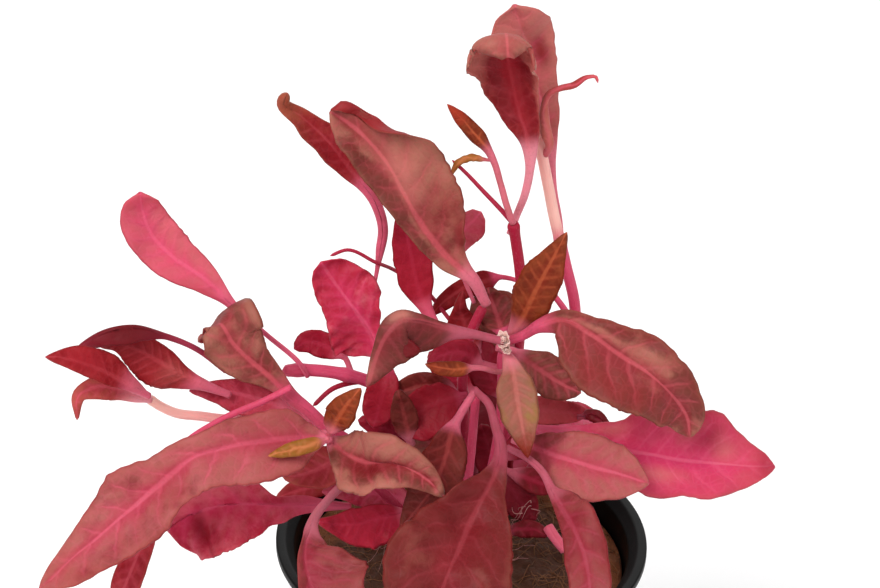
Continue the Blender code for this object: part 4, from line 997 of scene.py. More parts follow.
def with_poles(values):
    """The vectors of a grid of rings in a row, with the first and the last again for the two poles."""
    values = values.reshape(-1, 3)
    return np.concatenate([values, values[[0, -1]]])


def many_skins(name, points, along, around, tones):
    """One mesh of many like closed skins: each one's rings in order and then its two poles."""
    quads, triangles = ring_faces(len(along), len(around))
    first = (np.arange(len(points)) * points.shape[1])[:, None, None]
    skin = np.zeros(points.shape)
    skin[:, :-2, 0] = np.repeat(along, len(around))
    skin[:, :-2, 1] = np.tile(around, len(along))
    skin[:, -1, 0] = along[-1]
    skin[..., 2] = tones[:, None]
    return new_mesh(name, points.reshape(-1, 3), quads + first, triangles + first,
                    {"skin": skin.reshape(-1, 3)})


def many_tubes(name, paths, radii, sides, upright, tones):
    """One mesh of many like tubes, each with rings along its path and closed by a pole at both ends."""
    count, rings = paths.shape[:2]
    body, _ = tube_rings(paths, radii[..., None], sides, upright)
    points = np.concatenate([body.reshape(count, -1, 3), paths[:, :1], paths[:, -1:]], axis=1)
    return many_skins(name, points, np.linspace(0.0, 1.0, rings) * rings, np.arange(sides) / sides, tones)


def waves_of(chance, at, low, high, count):
    """A sum of sines of random pitch and start, as a share of its likely height."""
    pitch = chance.uniform(low, high, count)[:, None]
    start = chance.uniform(0.0, 2 * pi, count)[:, None]
    return np.sin(2 * pi * pitch * at + start).sum(axis=0) / np.sqrt(count)


def lumps(chance, x, y, low, high, count):
    """A sum of plane waves in random directions, with wavelengths from low to high millimetres."""
    pitch = 2 * pi / chance.uniform(low, high, count)
    turn = chance.uniform(0.0, 2 * pi, count)
    start = chance.uniform(0.0, 2 * pi, count)
    ways = pitch * np.cos(turn), pitch * np.sin(turn)
    return np.sin(x[..., None] * ways[0] + y[..., None] * ways[1] + start).sum(axis=-1) / np.sqrt(count)


def stem_paths():
    """Even points along each stem, for the leaves to join."""
    return {entry["name"]: even_path(placed(entry["path"]), 80) for entry in STEMS}


def nearest_on_stems(point, paths):
    """How far off the closest stem is, its name, the share of its length there and the point there."""
    found = []
    for name, path in paths.items():
        gap = np.linalg.norm(path - point, axis=1)
        i = int(gap.argmin())
        found.append((gap[i], name, i / (len(path) - 1), path[i]))
    return min(found, key=lambda item: item[0])


def carried(start, tangent):
    """A direction across the rib at each row, carried along it from the first row without twist."""
    found = [start]
    for along in tangent[1:]:
        found.append(found[-1] - np.dot(found[-1], along) * along)
    return np.array(found)


def leaf_rib(entry, paths, pitch):
    """Even points on the rib, the millimetres run along it and the share of the leaf at each.

    The rib starts inside the stem that it joins, or a little behind its base where no stem is near.
    """
    knots = placed(entry["rib"])
    gap, _, _, anchor = nearest_on_stems(knots[0], paths)
    back = unit(knots[0] - knots[1])
    reach = LOOSE_REACH
    if gap < JOIN_REACH:
        reach = gap
        back = unit(back + unit(anchor - knots[0]))
    knots = np.concatenate([[knots[0] + reach * back], knots])
    length = spans(knots).sum()
    rows = int(np.clip(length / pitch, *LEAF_ROWS))
    run = np.linspace(0.0, length, rows + 1)
    return even_path(knots, rows + 1), run, np.clip((run - reach) / (length - reach), 0.0, 1.0)


def leaf_axes(entry, rib, s):
    """Unit directions along the rib, to its right and towards the viewer, the last two turned by the roll."""
    tangent = unit(np.gradient(rib, axis=0))
    across = np.cross(tangent, EYE - rib)
    if entry["turned_over"]:
        across = carried(across[0], tangent)
    across = unit(across)
    facing = np.cross(across, tangent)
    roll = np.radians(profile(entry["roll"], s))[:, None]
    side = np.cos(roll) * across + np.sin(roll) * facing
    normal = np.cos(roll) * facing - np.sin(roll) * across
    return tangent, side, normal


def ragged_half(values, s, chance):
    """Half widths at each row, times one plus slow and fine sines, and closed in a square root at the tip."""
    half = profile(values, s)
    ragged = 1.0 + SLOW_RAGGED * waves_of(chance, s, 2.0, 8.0, 5) * smooth(half, 0.7, 2.5)
    ragged += FINE_RAGGED * waves_of(chance, s, 14.0, 26.0, 4) * smooth(half, 1.0, 3.0)
    return half * ragged * np.sqrt(np.clip((1.0 - s) / TIP_SHARE, TIP_SHARE, 1.0))


def half_section(entry, sign, s, half, u, ruffle):
    """Offsets of one half's points from the rib, to the right and towards the viewer.

    They add up the cosine and sine of the fold angle over the half width. The slow waves grow with u to the
    power of 2 and the ruffle with u to the power of 2.5.
    """
    columns = u.shape[1] - 1
    t = np.arange(1, columns + 1) / columns
    fold = np.radians(profile(entry["fold_right" if sign > 0 else "fold"], s))[:, None]
    curl = np.radians(profile(entry["curl"], s))[:, None]
    angle = fold + curl * (t - 0.5 / columns)
    if sign > 0:
        lip = np.radians(profile(entry["lip"], s))[:, None]
        angle = angle + lip * smooth(t, LIP_START - LIP_BLEND, LIP_START + LIP_BLEND)
    du = np.diff(u, axis=1)
    x = np.cumsum(np.cos(angle) * half[:, None] * du, axis=1)
    y = np.cumsum(np.sin(angle) * half[:, None] * du, axis=1)
    wave = entry["wave"] * np.sin(2 * pi * (WAVES * s + 0.2 * sign)) * half / entry["widest"]
    return sign * x, y + wave[:, None] * u[:, 1:] ** 2 + ruffle[:, None] * u[:, 1:] ** 2.5


def leaf_skin(s, v, mean, flat, size):
    """How far the face and the back lie off the middle surface.

    On the stalk both are half an ellipse. On the blade they are a thin web, with a midrib exp(-(v / m)^2)
    at the back that narrows towards the tip, and a groove over it on the face.
    """
    look = bpy.context.scene.plant_leaves
    columns = v.shape[1] // 2
    spread = abs(np.arange(-columns, columns + 1)) / columns
    web = (1.0 - flat) * mean[:, None] * np.sqrt(1.0 - np.sin(pi / 2 * spread) ** 2) * 0.92
    web = web + flat * look.thickness / MM / 2 * np.sqrt(1.0 - spread**6)
    ridge_width = (0.3 + 0.55 * (1.0 - s))[:, None] * max(size, 0.5)
    ridge = look.midrib / MM * size * (1.0 - 0.75 * s)[:, None] * np.exp(-((v / ridge_width) ** 2)) * flat
    ridge = ridge * (1.0 - spread**4)
    return web - 0.3 * ridge, web + ridge


def spot(s, v, w, at, out, tall, wide):
    """A soft spot on a leaf: exp(-((s - at) / tall)^2 - ((v / w - out) / wide)^2)."""
    return np.exp(-(((s - at) / tall) ** 2) - ((v / np.maximum(w, 0.1) - out) / wide) ** 2)


def leaf_attributes(entry, run, s, v, w, mean, count, spacing, seed):
    """The vectors that the leaf's paint reads, on the grid of its middle surface.

    blade is the way along, the way across and the half width in millimetres. veins is the side veins passed,
    the share of the leaf and the millimetres between veins. tone is the seed, nought until the side is known,
    and the patches. body is how far the blade has opened, the turned tip and the painted shade. marks is the
    strength of the side veins, the paleness of the stalk and the deep red, which below zero is paleness that
    in places is a painted highlight.
    """
    widest = entry["widest"]
    opened = np.maximum.accumulate(smooth(mean, min(0.8, 0.4 * widest), min(1.9, 0.9 * widest)))[:, None]
    warmth, shade, deep = entry["warmth"], entry["shade"], 0.0
    # Stains add to the patches, to the painted shade and to the deep red, and below zero to the paleness and
    # painted highlights.
    for at, out, tall, wide, more_patches, more_shade, more_deep in entry["stains"]:
        stain = spot(s, v, w, at, out, tall, wide)
        warmth = warmth + more_patches * stain
        shade = shade + more_shade * stain
        deep = deep + more_deep * stain

    def vectors(*parts):
        return np.stack([np.broadcast_to(part, v.shape) for part in parts], axis=-1)

    return {
        "blade": vectors(run, v, w),
        "veins": vectors(count, s, spacing),
        "tone": vectors(seed, 0.0, warmth),
        "body": vectors(opened, entry["tip"], shade),
        "marks": vectors(entry["veins"], entry["pale"], deep),
    }


def leaf_piece(entry, paths, chance):
    """One leaf as a closed skin of two faces that meet at the margin.

    The middle surface is rib(s) + x side + y normal, with x and y from half_section. Slow lumps, dents and a
    quilt of cos(2 pi veins) between the side veins move it along its normal n, and the skin's two faces lie
    off it along n by leaf_skin.
    """
    look = bpy.context.scene.plant_leaves
    rib, run, s = leaf_rib(entry, paths, look.mesh_pitch)
    tangent, side, normal = leaf_axes(entry, rib, s)
    size = entry["widest"] / FULL_HALF_WIDTH
    calm = min(entry["wave"] / USUAL_WAVE, 1.0)
    left, right = (ragged_half(entry[key], s, chance) for key in ("left", "right"))
    mean = (left + right) / 2
    flat = smooth(mean, 0.7, 1.5)[:, None]
    broad = run[mean > 1.2]
    blade_length = broad[-1] - broad[0] if len(broad) > 1 else run[-1]
    spacing = float(np.clip(blade_length / VEIN_PAIRS, *VEIN_SPACING))
    bend = 0.16 * waves_of(chance, run / run[-1], 1.0, 3.0, 3)

    columns = int(np.clip(entry["widest"] / look.mesh_pitch, *LEAF_COLUMNS))
    t = np.arange(columns + 1) / columns
    u = (1.0 - flat) * np.sin(pi / 2 * t) + flat * t
    middle = np.empty((len(s), 2 * columns + 1, 3))
    middle[:, columns] = rib
    for sign, half in ((-1, left), (1, right)):
        ruffle = look.ruffle / MM * size * waves_of(chance, s, 3.0, 8.0, 4) * smooth(half, 0.8, 3.0) * calm
        x, y = half_section(entry, sign, s, half, u, ruffle)
        place = slice(columns + 1, None) if sign > 0 else slice(columns - 1, None, -1)
        middle[:, place] = rib[:, None] + x[..., None] * side[:, None] + y[..., None] * normal[:, None]
    along = run[:, None]
    hand = np.sign(np.arange(-columns, columns + 1))
    out = np.concatenate([u[:, :0:-1], u], axis=1)
    w = np.where(hand < 0, left[:, None], right[:, None])
    w[:, columns] = mean
    v = hand * w * out
    count = (along - VEIN_SLANT * abs(v) - VEIN_CURVE * v**2) / spacing + bend[:, None]
    window = smooth(out, 0.0, 0.3) * (1.0 - smooth(out, 0.7, 1.0))
    lift = window * (0.5 + 0.5 * np.cos(2 * pi * (count + 0.5 * (hand > 0))))
    n = unit(np.cross(np.gradient(middle, axis=1), np.gradient(middle, axis=0)))
    crumple = look.crumple / MM * min(size, 1.1) * smooth(w, 1.0, 3.0) * calm
    crumple = crumple * lumps(chance, np.broadcast_to(along, v.shape), v, 5.0, 14.0, 9)
    for *where, depth in entry["dents"]:
        crumple = crumple + depth * spot(s[:, None], v, w, *where)
    quilt = look.quilting / MM * min(size, 1.2) * lift * smooth(w, 1.0, 2.5)
    middle += (crumple + (-quilt if entry["under"] else quilt))[..., None] * n

    face, back = leaf_skin(s, v, mean, flat, size)
    above, below = (back, face) if entry["under"] else (face, back)
    ring = closed_rings(middle + above[..., None] * n, middle - below[..., None] * n)
    upper = np.concatenate([[0.5], np.ones(2 * columns - 1), [0.5], np.zeros(2 * columns - 1)])
    seed = chance.uniform(0.0, 1.0)
    attributes = leaf_attributes(entry, along, s[:, None], v, w, mean, count, spacing, seed)
    for key, values in attributes.items():
        values = closed_rings(values, values)
        if key == "tone":
            values[..., 1] = 1.0 - upper if entry["under"] else upper
        attributes[key] = with_poles(values)
    poles = [ring[0].mean(axis=0), ring[-1].mean(axis=0) + 0.05 * tangent[-1]]
    points = np.concatenate([ring.reshape(-1, 3), poles])
    return new_mesh("skin_of_" + entry["name"], points, *ring_faces(*ring.shape[:2]), attributes)


def stem_piece(name, entry, nodes=(), sunk=0.0, dome=STEM_DOME):
    """A stem as rings round its path.

    The radius runs from base to top, swells at the nodes as exp(-(d / reach)^2), wavers by the cosine of the
    flutes and closes in a dome. A sunk stem starts that far inside the plug, back and down from its base.
    """
    knots = placed(entry["path"])
    if sunk:
        root = knots[0] - sunk * 0.6 * unit(knots[1] - knots[0]) - np.array([0.0, 0.0, sunk * 0.6])
        knots = np.concatenate([[root], knots])
    length = spans(knots).sum()
    rings = int(np.clip(length / STEM_PITCH, 12, 260))
    line = even_path(knots, rings)
    run = np.linspace(0.0, length, rings)
    share = run / length
    swell = np.zeros(rings)
    for node in nodes:
        swell = np.maximum(swell, NODE_SWELL * np.exp(-(((run - node * length) / NODE_REACH) ** 2)))
    base, top = entry["base"], entry["top"]
    radius = base + (top - base) * share + swell * (base + top) / 1.5
    into_dome = ((run - (length - dome)) / dome).clip(0.0, 1.0)
    radius = radius * np.sqrt(np.clip(1.0 - into_dome**2, 0.02, 1.0))
    body, angle = tube_rings(line, radius[:, None], STEM_SIDES, np.array([0.0, 1.0, 0.0]))
    flute = 1.0 + FLUTE_DEPTH * np.cos(FLUTES * angle[None, :] + share[:, None] * 5.0)
    body = line[:, None] + (body - line[:, None]) * flute[..., None]
    points = np.concatenate([body.reshape(-1, 3), line[:1], line[-1:]])
    skin = np.zeros((rings, STEM_SIDES, 3))
    skin[..., 0] = run[:, None]
    skin[..., 1] = abs(angle[None, :] / pi - 1.0)
    skin[..., 2] = profile(entry["pale"], share)[:, None]
    return new_mesh(name, points, *ring_faces(rings, STEM_SIDES), {"skin": with_poles(skin)})


def turned_piece(name, outline, steps, waver=None, closed=False):
    """An outline of (radius, height), which runs up on the outside, turned about Z.

    An open outline starts and ends on the axis, at a pole; a closed one makes a ring. waver is an outward
    shift of the radius by angle and height.
    """
    outline = np.asarray(outline, float)
    rings = outline if closed else outline[1:-1]
    a = turns(steps)[None, :]
    height = np.broadcast_to(rings[:, 1:2], (len(rings), steps))
    radius = np.broadcast_to(rings[:, 0:1], (len(rings), steps))
    if waver is not None:
        radius = radius + waver(a, height)
    points = np.stack([radius * np.cos(a), radius * np.sin(a), height], axis=-1).reshape(-1, 3)
    quads, triangles = ring_faces(len(rings), steps)
    if closed:
        last = np.arange(steps) + (len(rings) - 1) * steps
        first = np.arange(steps)
        join = np.stack([last, np.roll(last, -1), np.roll(first, -1), first], axis=-1)
        return new_mesh(name, points, np.concatenate([quads, join]))
    poles = np.array([[0.0, 0.0, outline[0, 1]], [0.0, 0.0, outline[-1, 1]]])
    return new_mesh(name, np.concatenate([points, poles]), quads, triangles)


def rounded(outline, radius, closed=False, steps=5):
    """An outline with each corner cut to an arc: the Bezier curve from before the corner to after it."""
    p = np.asarray(outline, float)
    before = np.roll(p, 1, axis=0) - p
    after = np.roll(p, -1, axis=0) - p
    cut = np.minimum(radius, 0.45 * np.minimum(np.linalg.norm(before, axis=1), np.linalg.norm(after, axis=1)))
    if not closed:
        cut[[0, -1]] = 0.0
    start = p + unit(before) * cut[:, None]
    end = p + unit(after) * cut[:, None]
    t = np.linspace(0.0, 1.0, steps)[None, :, None]
    arc = start[:, None] * (1 - t) ** 2 + 2 * p[:, None] * t * (1 - t) + end[:, None] * t**2
    if closed:
        return arc.reshape(-1, 2)
    return np.concatenate([p[:1], arc[1:-1].reshape(-1, 2), p[-1:]])


def length_setting(name, description, millimetres):
    """A length that a user would change."""
    return bpy.props.FloatProperty(name=name, description=description, default=millimetres * MM, min=0.0,
                                   unit="LENGTH", subtype="DISTANCE", precision=5)


class LeafSettings(bpy.types.PropertyGroup):
    thickness: length_setting("Thickness", "Thickness of the leaf web", 0.3)
    midrib: length_setting("Midrib", "Height of the midrib under the widest leaves", 0.42)
    quilting: length_setting("Quilting", "How far the web rises between the side veins", 0.16)
    ruffle: length_setting("Ruffle", "How far the margin of the widest leaves wavers", 0.45)
    crumple: length_setting("Crumple", "Height of the slow swells of the widest leaves", 0.4)
    mesh_pitch: bpy.props.FloatProperty(
        name="Mesh pitch", description="Millimetres between mesh points", default=0.42, min=0.2, max=2.0)
    vein_width: bpy.props.FloatProperty(
        name="Midrib width", description="Half width of the coloured midrib in millimetres", default=0.62,
        min=0.1, max=2.0)
    glow: bpy.props.FloatProperty(
        name="Glow", description="Share of light that passes into the leaf", default=0.15, min=0.0, max=1.0,
        subtype="FACTOR")


class PotSettings(bpy.types.PropertyGroup):
    steps: bpy.props.IntProperty(name="Steps", description="Steps around the cup", default=144, min=24)
    wrap_waver: length_setting("Wrap waver", "How far the wrap stands off in places", 0.12)


class PlugSettings(bpy.types.PropertyGroup):
    relief: length_setting("Relief", "Height of the lumps on the plug", 0.32)
    fibres: bpy.props.IntProperty(name="Fibres", description="Number of coir fibres", default=520, min=0)
    roots: bpy.props.IntProperty(name="Roots", description="Number of fine pale roots", default=46, min=0)


class StageSettings(bpy.types.PropertyGroup):
    floor_colour: bpy.props.FloatVectorProperty(
        name="Floor", description="Colour of the floor", default=(0.97, 0.97, 0.97), subtype="COLOR")
    sky: bpy.props.FloatProperty(name="Sky", description="Strength of the even light", default=0.55, min=0.0)
    key: bpy.props.FloatProperty(name="Key", description="Watts of the main soft light", default=6.5, min=0.0)
    fill: bpy.props.FloatProperty(name="Fill", description="Watts of the second light", default=2.0, min=0.0)


def put(ob, place, right, up, back):
    """Puts an object at a place with its X, Y and Z axes along three unit directions."""
    turn = Matrix(np.stack([right, up, back], axis=1).tolist()).to_4x4()
    turn.translation = place
    ob.matrix_world = turn


def aimed(ob, place, target):
    """Puts an object at a place with its -Z axis towards the target and its X axis level."""
    back = unit(np.asarray(place, float) - np.asarray(target, float))
    right = unit(np.cross([0.0, 0.0, 1.0], back))
    put(ob, place, right, np.cross(back, right), back)


class PLANT_OT_stage(bpy.types.Operator):
    """The floor, the lights and the camera of the front view"""
    bl_idname = "plant.stage"
    bl_label = "Stage"

    def execute(self, context):
        look = context.scene.plant_stage
        camera = bpy.data.cameras.new("front_view")
        camera.sensor_fit = "HORIZONTAL"
        camera.sensor_width = SENSOR_WIDTH
        camera.lens = SENSOR_WIDTH * VIEW_FOCAL_COLUMNS / PICTURE_COLUMNS
        camera.clip_start = 0.02
        camera.clip_end = 20.0
        context.scene.camera = linked("front_view", camera)
        put(context.scene.camera, EYE * MM, RIGHT, UP, -FORWARD)

        paint = Paint("pale_floor")
        soft = paint.noise(paint.place(), 3.0)
        tone = tuple(look.floor_colour)
        dim = tuple(0.985 * part for part in tone)
        corners = FLOOR_REACH * np.array([(-1, -1, 0), (1, -1, 0), (1, 1, 0), (-1, 1, 0)])
        floor = new_mesh("pale_floor", corners, [(0, 1, 2, 3)])
        floor.data.materials.append(paint.finish(Base_Color=paint.mix(soft, tone, dim), Roughness=0.9))

        sky = bpy.data.worlds.new("even_light")
        sky.use_nodes = True
        sky.node_tree.nodes["Background"].inputs["Color"].default_value = (1.0, 1.0, 1.0, 1.0)
        sky.node_tree.nodes["Background"].inputs["Strength"].default_value = look.sky
        context.scene.world = sky
        for name, power, width, place in (
                ("key_light", look.key, 0.5, (-0.35, -0.45, 0.75)),
                ("fill_light", look.fill, 0.7, (0.6, -0.35, 0.5)),
                ("rear_light", look.fill, 0.7, (0.1, 0.7, 0.6))):
            lamp = bpy.data.lights.new(name, "AREA")
            lamp.energy = power
            lamp.size = width
            aimed(linked(name, lamp), place, LIGHTS_TARGET)
        context.scene.view_settings.view_transform = "Standard"
        return {"FINISHED"}


def wall_radius(height):
    """Outer radius of the cup's wall at a height."""
    return WALL_BASE_RADIUS + (WALL_TOP_RADIUS - WALL_BASE_RADIUS) * height / CUP_HEIGHT


PLUG_EDGE = wall_radius(PLUG_TOP) - PLUG_INSET


class PLANT_OT_cup(bpy.types.Operator):
    """The tapered cup with its rounded lip and recessed base"""
    bl_idname = "plant.cup"
    bl_label = "Cup"

    def execute(self, context):
        under_lip = CUP_HEIGHT - RIM_DEPTH
        foot = WALL_BASE_RADIUS - FOOT_WIDTH
        outline = rounded([
            (0.0, FOOT_RECESS), (foot - 0.6, FOOT_RECESS), (foot, 0.0), (WALL_BASE_RADIUS, 0.0),
            (wall_radius(under_lip), under_lip), (RIM_RADIUS, under_lip), (RIM_RADIUS, CUP_HEIGHT),
            (RIM_INNER_RADIUS, CUP_HEIGHT), (wall_radius(under_lip) - WALL_THICKNESS, under_lip),
            (wall_radius(BASE_THICKNESS) - WALL_THICKNESS, BASE_THICKNESS), (0.0, BASE_THICKNESS)], 0.3)
        piece = turned_piece("moulded_cup", outline, context.scene.plant_pot.steps)
        dressed(piece, cup_material(), "black_cup", "cup")
        return {"FINISHED"}


class PLANT_OT_wrap(bpy.types.Operator):
    """The bare pale film around the cup, lapped over itself at the back"""
    bl_idname = "plant.wrap"
    bl_label = "Wrap"

    def execute(self, context):
        top = wall_radius(WRAP_TOP) + GAP
        bottom = wall_radius(WRAP_BOTTOM) + GAP
        outline = rounded([(bottom, WRAP_BOTTOM), (bottom + WRAP_THICKNESS, WRAP_BOTTOM),
                           (top + WRAP_THICKNESS, WRAP_TOP), (top, WRAP_TOP)], 0.12, closed=True)
        stand_off = context.scene.plant_pot.wrap_waver / MM

        def waver(a, height):
            """The lap's step smooth(a) above the back, and slow waves of angle and height."""
            lap = smooth(a, LAP_START - 0.02, LAP_START) * (1.0 - smooth(a, LAP_END, LAP_END + 0.04))
            slow = np.sin(5 * a + height * 0.1) * np.sin(3 * a - height * 0.23 + 1.0)
            return LAP_STEP * lap + stand_off * (0.5 + 0.5 * slow)

        piece = turned_piece("pale_wrap_film", outline, context.scene.plant_pot.steps * 2, waver, closed=True)
        dressed(piece, wrap_material(), "pale_wrap", "wrap")
        return {"FINISHED"}


def plug_height(x, y):
    """Height of the plug's top: a low dome minus its falling edge, with plane-wave lumps in three sizes."""
    share = np.sqrt(x**2 + y**2) / PLUG_EDGE
    chance = np.random.default_rng(11)
    relief = bpy.context.scene.plant_plug.relief / MM
    rough = lumps(chance, x, y, 5.0, 12.0, 14) + 0.6 * lumps(chance, x, y, 1.6, 4.0, 24)
    rough = rough + 0.4 * lumps(chance, x, y, 0.8, 1.5, 30)
    dome = PLUG_TOP + PLUG_DOME * (1.0 - share**2)
    return dome - 0.5 * smooth(share, 0.9, 1.0) + relief * rough


def coir_fibres(count):
    """Short bent fibres that lie on the plug: a turning heading added up, lifted by half a sine."""
    chance = np.random.default_rng(23)
    start = (PLUG_EDGE - 2.0) * np.sqrt(chance.uniform(0.0, 1.0, count))
    turn = chance.uniform(0.0, 2 * pi, count)
    way = chance.uniform(0.0, 2 * pi, count)
    bend = chance.normal(0.0, 0.9, count)
    reach = chance.uniform(2.0, 7.0, count)
    t = np.linspace(0.0, 1.0, 7)
    heading = way[:, None] + bend[:, None] * t
    x = (start * np.cos(turn))[:, None] + np.cumsum(np.cos(heading) * reach[:, None] / 6, axis=1)
    y = (start * np.sin(turn))[:, None] + np.cumsum(np.sin(heading) * reach[:, None] / 6, axis=1)
    pull = np.minimum(1.0, (PLUG_EDGE - 0.5) / np.maximum(np.sqrt(x**2 + y**2), 1.0))
    x, y = x * pull, y * pull
    hump = chance.uniform(0.1, 1.1, count)[:, None] * np.sin(pi * t) - 0.08
    paths = np.stack([x, y, plug_height(x, y) + hump], axis=-1)
    radii = chance.uniform(0.05, 0.11, count)[:, None] * (1.0 - 0.6 * t)
    # Fibres in the middle of the plug are darker, painted shade as on the plug under them.
    out_of_shade = 0.35 + 0.65 * smooth(start, SHADE_RADIUS - 2.0, SHADE_RADIUS + 5.0)
    tones = chance.uniform(0.0, 1.0, count) * out_of_shade
    return many_tubes("coir_fibres", paths, radii, 4, np.array([0.1, 0.2, 1.0]), tones)


class PLANT_OT_plug(bpy.types.Operator):
    """The lumpy brown growing plug and its coir fibres"""
    bl_idname = "plant.plug"
    bl_label = "Growing plug"

    def execute(self, context):
        floor = BASE_THICKNESS + GAP
        foot = wall_radius(floor) - PLUG_INSET
        steps = 200
        rise = np.linspace(0.0, 1.0, 30)
        across = np.linspace(1.0, 0.0, 66)[1:-1]
        radius = np.concatenate([[foot * 0.5], foot + (PLUG_EDGE - foot) * rise, PLUG_EDGE * across])
        height = np.concatenate([[floor], floor + (PLUG_TOP - PLUG_SHOULDER - floor) * rise,
                                 np.full(len(across), PLUG_TOP)])
        a = turns(steps)
        x = radius[:, None] * np.cos(a)
        y = radius[:, None] * np.sin(a)
        z = np.broadcast_to(height[:, None], x.shape).copy()
        top = len(rise) + 1
        z[top:] = plug_height(x[top:], y[top:])
        middle = plug_height(np.zeros(1), np.zeros(1))[0]
        points = np.concatenate([np.stack([x, y, z], axis=-1).reshape(-1, 3),
                                 [[0.0, 0.0, floor], [0.0, 0.0, middle]]])
        piece = new_mesh("peat_plug", points, *ring_faces(len(radius), steps))
        dressed(piece, peat_material(), "brown_plug", "growing_plug")

        coir = fibre_material("coir_fibre", paint_value(70, 36, 16), paint_value(160, 104, 56))
        dressed(coir_fibres(context.scene.plant_plug.fibres), coir, "brown_plug")
        return {"FINISHED"}


def creeping_roots(chance, count, t):
    """Paths and radii of roots that start at the stems' feet and come down in waves to the plug."""
    feet = np.array([path[0] for path in stem_paths().values()])
    pick = chance.integers(0, len(feet), count)
    way = chance.uniform(0.0, 2 * pi, count)
    reach = chance.uniform(4.0, 11.0, count)
    heading = way[:, None] + chance.normal(0.0, 0.8, count)[:, None] * t
    heading = heading + 0.5 * np.sin(chance.uniform(4.0, 12.0, count)[:, None] * t + way[:, None])
    step = reach[:, None] / (len(t) - 1)
    x = feet[pick, 0][:, None] + np.cumsum(np.cos(heading) * step, axis=1)
    y = feet[pick, 1][:, None] + np.cumsum(np.sin(heading) * step, axis=1)
    rise = chance.uniform(0.4, 3.4, count)[:, None]
    z = plug_height(x, y) + rise * (1.0 - t) * (0.4 + 0.6 * np.cos(pi * t)) ** 2 + 0.1
    radii = chance.uniform(0.05, 0.09, count)[:, None] * (1.0 - 0.7 * t)
    return np.stack([x, y, z], axis=-1), radii


def root_tuft(chance, tuft, t):
    """Paths and radii of one tuft: straight from start to end, swayed by one and two half sines."""
    start, finish = placed(tuft["path"])
    count = tuft["count"]
    begin = start + chance.normal(0.0, 0.45, (count, 3))
    end = finish + chance.normal(0.0, 1.3, (count, 3))
    sway = chance.normal(0.0, 0.7, (count, 2, 3))
    line = begin[:, None] + (end - begin)[:, None] * t[:, None]
    line = line + sway[:, :1] * np.sin(pi * t)[:, None] + 0.6 * sway[:, 1:] * np.sin(2 * pi * t)[:, None]
    line[..., 2] = np.maximum(line[..., 2], plug_height(line[..., 0], line[..., 1]) + 0.1)
    return line, chance.uniform(0.05, 0.075, count)[:, None] * (1.0 - 0.6 * t)


class PLANT_OT_roots(bpy.types.Operator):
    """Fine pale roots that creep from the stems over the plug"""
    bl_idname = "plant.roots"
    bl_label = "Roots"

    def execute(self, context):
        chance = np.random.default_rng(31)
        t = np.linspace(0.0, 1.0, 16)
        grown = [creeping_roots(chance, context.scene.plant_plug.roots, t)]
        grown += [root_tuft(chance, tuft, t) for tuft in ROOT_TUFTS]
        paths, radii = (np.concatenate(parts) for parts in zip(*grown))
        tones = chance.uniform(0.0, 1.0, len(paths))
        piece = many_tubes("fine_roots", paths, radii, 6, np.array([0.2, 0.1, 1.0]), tones)
        hair = fibre_material("pale_root", paint_value(150, 74, 78), paint_value(216, 168, 160))
        dressed(piece, hair, "stem")
        return {"FINISHED"}


class PLANT_OT_stems(bpy.types.Operator):
    """The eight stems, swollen where leaves join them"""
    bl_idname = "plant.stems"
    bl_label = "Stems"

    def execute(self, context):
        material = stem_material()
        paths = stem_paths()
        nodes = {name: [] for name in paths}
        for entry in LEAVES:
            gap, name, share, _ = nearest_on_stems(placed(entry["rib"])[0], paths)
            if gap < JOIN_REACH:
                nodes[name].append(share)
        for entry in STEMS:
            name = entry["name"]
            piece = stem_piece("skin_of_" + name, entry, nodes[name], sunk=STEM_SUNK)
            dressed(piece, material, "stem", name)
        return {"FINISHED"}


class PLANT_OT_shoots(bpy.types.Operator):
    """Thin bare stalks and cut stubs among the leaves"""
    bl_idname = "plant.shoots"
    bl_label = "Bare stalks"

    def execute(self, context):
        material = bpy.data.materials["stem_skin"]
        for entry in SHOOTS:
            dome = STUB_DOME if "stub" in entry["name"] else STEM_DOME
            dressed(stem_piece(entry["name"], entry, dome=dome), material, "stem")
        return {"FINISHED"}


class PLANT_OT_leaves(bpy.types.Operator):
    """The leaves, each a veined skin in the place of its solid"""
    bl_idname = "plant.leaves"
    bl_label = "Leaves"

    def execute(self, context):
        paths = stem_paths()
        materials = {kind: leaf_material(kind) for kind in LEAF_COLOURS}
        for number, entry in enumerate(LEAVES + INNER_LEAVES):
            piece = leaf_piece(entry, paths, np.random.default_rng(100 + number))
            nodes = [entry["name"]] if number < len(LEAVES) else []
            dressed(piece, materials[entry["colour"]], entry["colour"], *nodes)
        return {"FINISHED"}


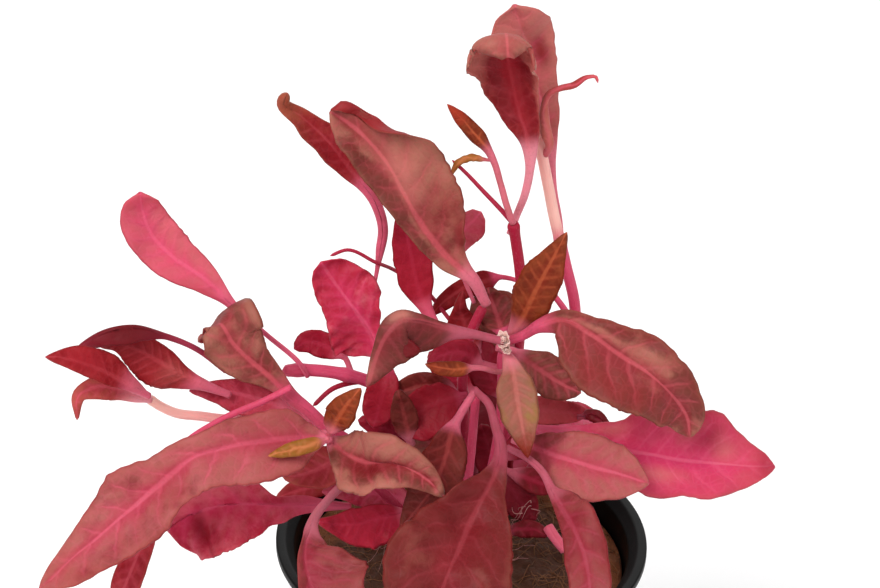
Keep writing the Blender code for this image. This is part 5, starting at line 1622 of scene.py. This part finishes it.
def flower_scales(chance, place, count, size):
    """Scales round one heart: each heart + s reach along + half(s) u wide + bow(s, u) thick, as closed rings.

    half(s) swells as the sine of s and narrows to a point, and bow cups the scale and gives it thickness.
    """
    s = SCALE_ROWS[:, None]
    u = SCALE_COLUMNS[None, :]
    turn = chance.uniform(0.0, 2 * pi, count)
    lean = chance.uniform(0.0, 1.45, count)
    reach = size * chance.uniform(0.85, 1.2, count)
    heart = placed([place])[0]
    facing = unit(EYE - heart + np.array([0.0, 0.0, 150.0]))
    level = unit(np.cross([0.0, 0.0, 1.0], facing))
    rise = np.cross(facing, level)
    out = np.cos(turn)[:, None] * level + np.sin(turn)[:, None] * rise
    along = np.cos(lean)[:, None] * facing + np.sin(lean)[:, None] * out
    wide = unit(np.cross(along, facing + 0.01 * out))
    thick = np.cross(wide, along)
    half = size * (0.4 * np.sin(pi * s**0.7) ** 0.7 + 0.08 * (1.0 - s))
    cup = 0.35 * (u**2 - 1.0) * half + 0.2 * s**2
    faces = []
    for lift in (0.06, -0.06):
        bow = cup + lift * (1.0 - u**2) * (1.0 - s)
        faces.append(heart + s[None, ..., None] * reach[:, None, None, None] * along[:, None, None]
                     + (half * u)[None, ..., None] * wide[:, None, None]
                     + bow[None, ..., None] * thick[:, None, None])
    ring = closed_rings(*faces)
    poles = [ring[:, row].mean(axis=1)[:, None] for row in (0, -1)]
    return np.concatenate([ring.reshape(count, -1, 3), *poles], axis=1)


class PLANT_OT_flower(bpy.types.Operator):
    """The papery flower head: pointed scales round two small hearts"""
    bl_idname = "plant.flower"
    bl_label = "Flower head"

    def execute(self, context):
        chance = np.random.default_rng(47)
        points = np.concatenate([flower_scales(chance, *head) for head in FLOWER_HEADS])
        around = np.concatenate([SCALE_COLUMNS, SCALE_COLUMNS[-2:0:-1]])
        tones = chance.uniform(0.0, 1.0, len(points))
        piece = many_skins("papery_flower_head", points, SCALE_ROWS, around, tones)
        dressed(piece, papery_material(), "cream_flower", "flower_head")
        return {"FINISHED"}


OPERATORS = (PLANT_OT_stage, PLANT_OT_cup, PLANT_OT_wrap, PLANT_OT_plug, PLANT_OT_roots, PLANT_OT_stems,
             PLANT_OT_shoots, PLANT_OT_leaves, PLANT_OT_flower)
SETTINGS = {"plant_leaves": LeafSettings, "plant_pot": PotSettings, "plant_plug": PlugSettings,
            "plant_stage": StageSettings}


class PLANT_PT_panel(bpy.types.Panel):
    """Sizes, colours and steps of the potted plant"""
    bl_label = "Potted plant"
    bl_idname = "PLANT_PT_panel"
    bl_space_type = "VIEW_3D"
    bl_region_type = "UI"
    bl_category = "Plant"

    def draw(self, context):
        for name, group in SETTINGS.items():
            box = self.layout.box()
            for key in group.__annotations__:
                box.prop(getattr(context.scene, name), key)
        for operator in OPERATORS:
            self.layout.operator(operator.bl_idname)


def register():
    """Adds the settings, the operators and the panel."""
    for cls in (*SETTINGS.values(), *OPERATORS, PLANT_PT_panel):
        bpy.utils.register_class(cls)
    for name, group in SETTINGS.items():
        setattr(bpy.types.Scene, name, bpy.props.PointerProperty(type=group))


def unregister():
    """Takes them away again."""
    for name in SETTINGS:
        delattr(bpy.types.Scene, name)
    for cls in (PLANT_PT_panel, *reversed(OPERATORS), *reversed(SETTINGS.values())):
        bpy.utils.unregister_class(cls)


def main():
    """Builds the stage and every piece."""
    register()
    bpy.ops.plant.stage()
    bpy.ops.plant.cup()
    bpy.ops.plant.wrap()
    bpy.ops.plant.plug()
    bpy.ops.plant.roots()
    bpy.ops.plant.stems()
    bpy.ops.plant.shoots()
    bpy.ops.plant.leaves()
    bpy.ops.plant.flower()


if __name__ == "__main__":
    main()
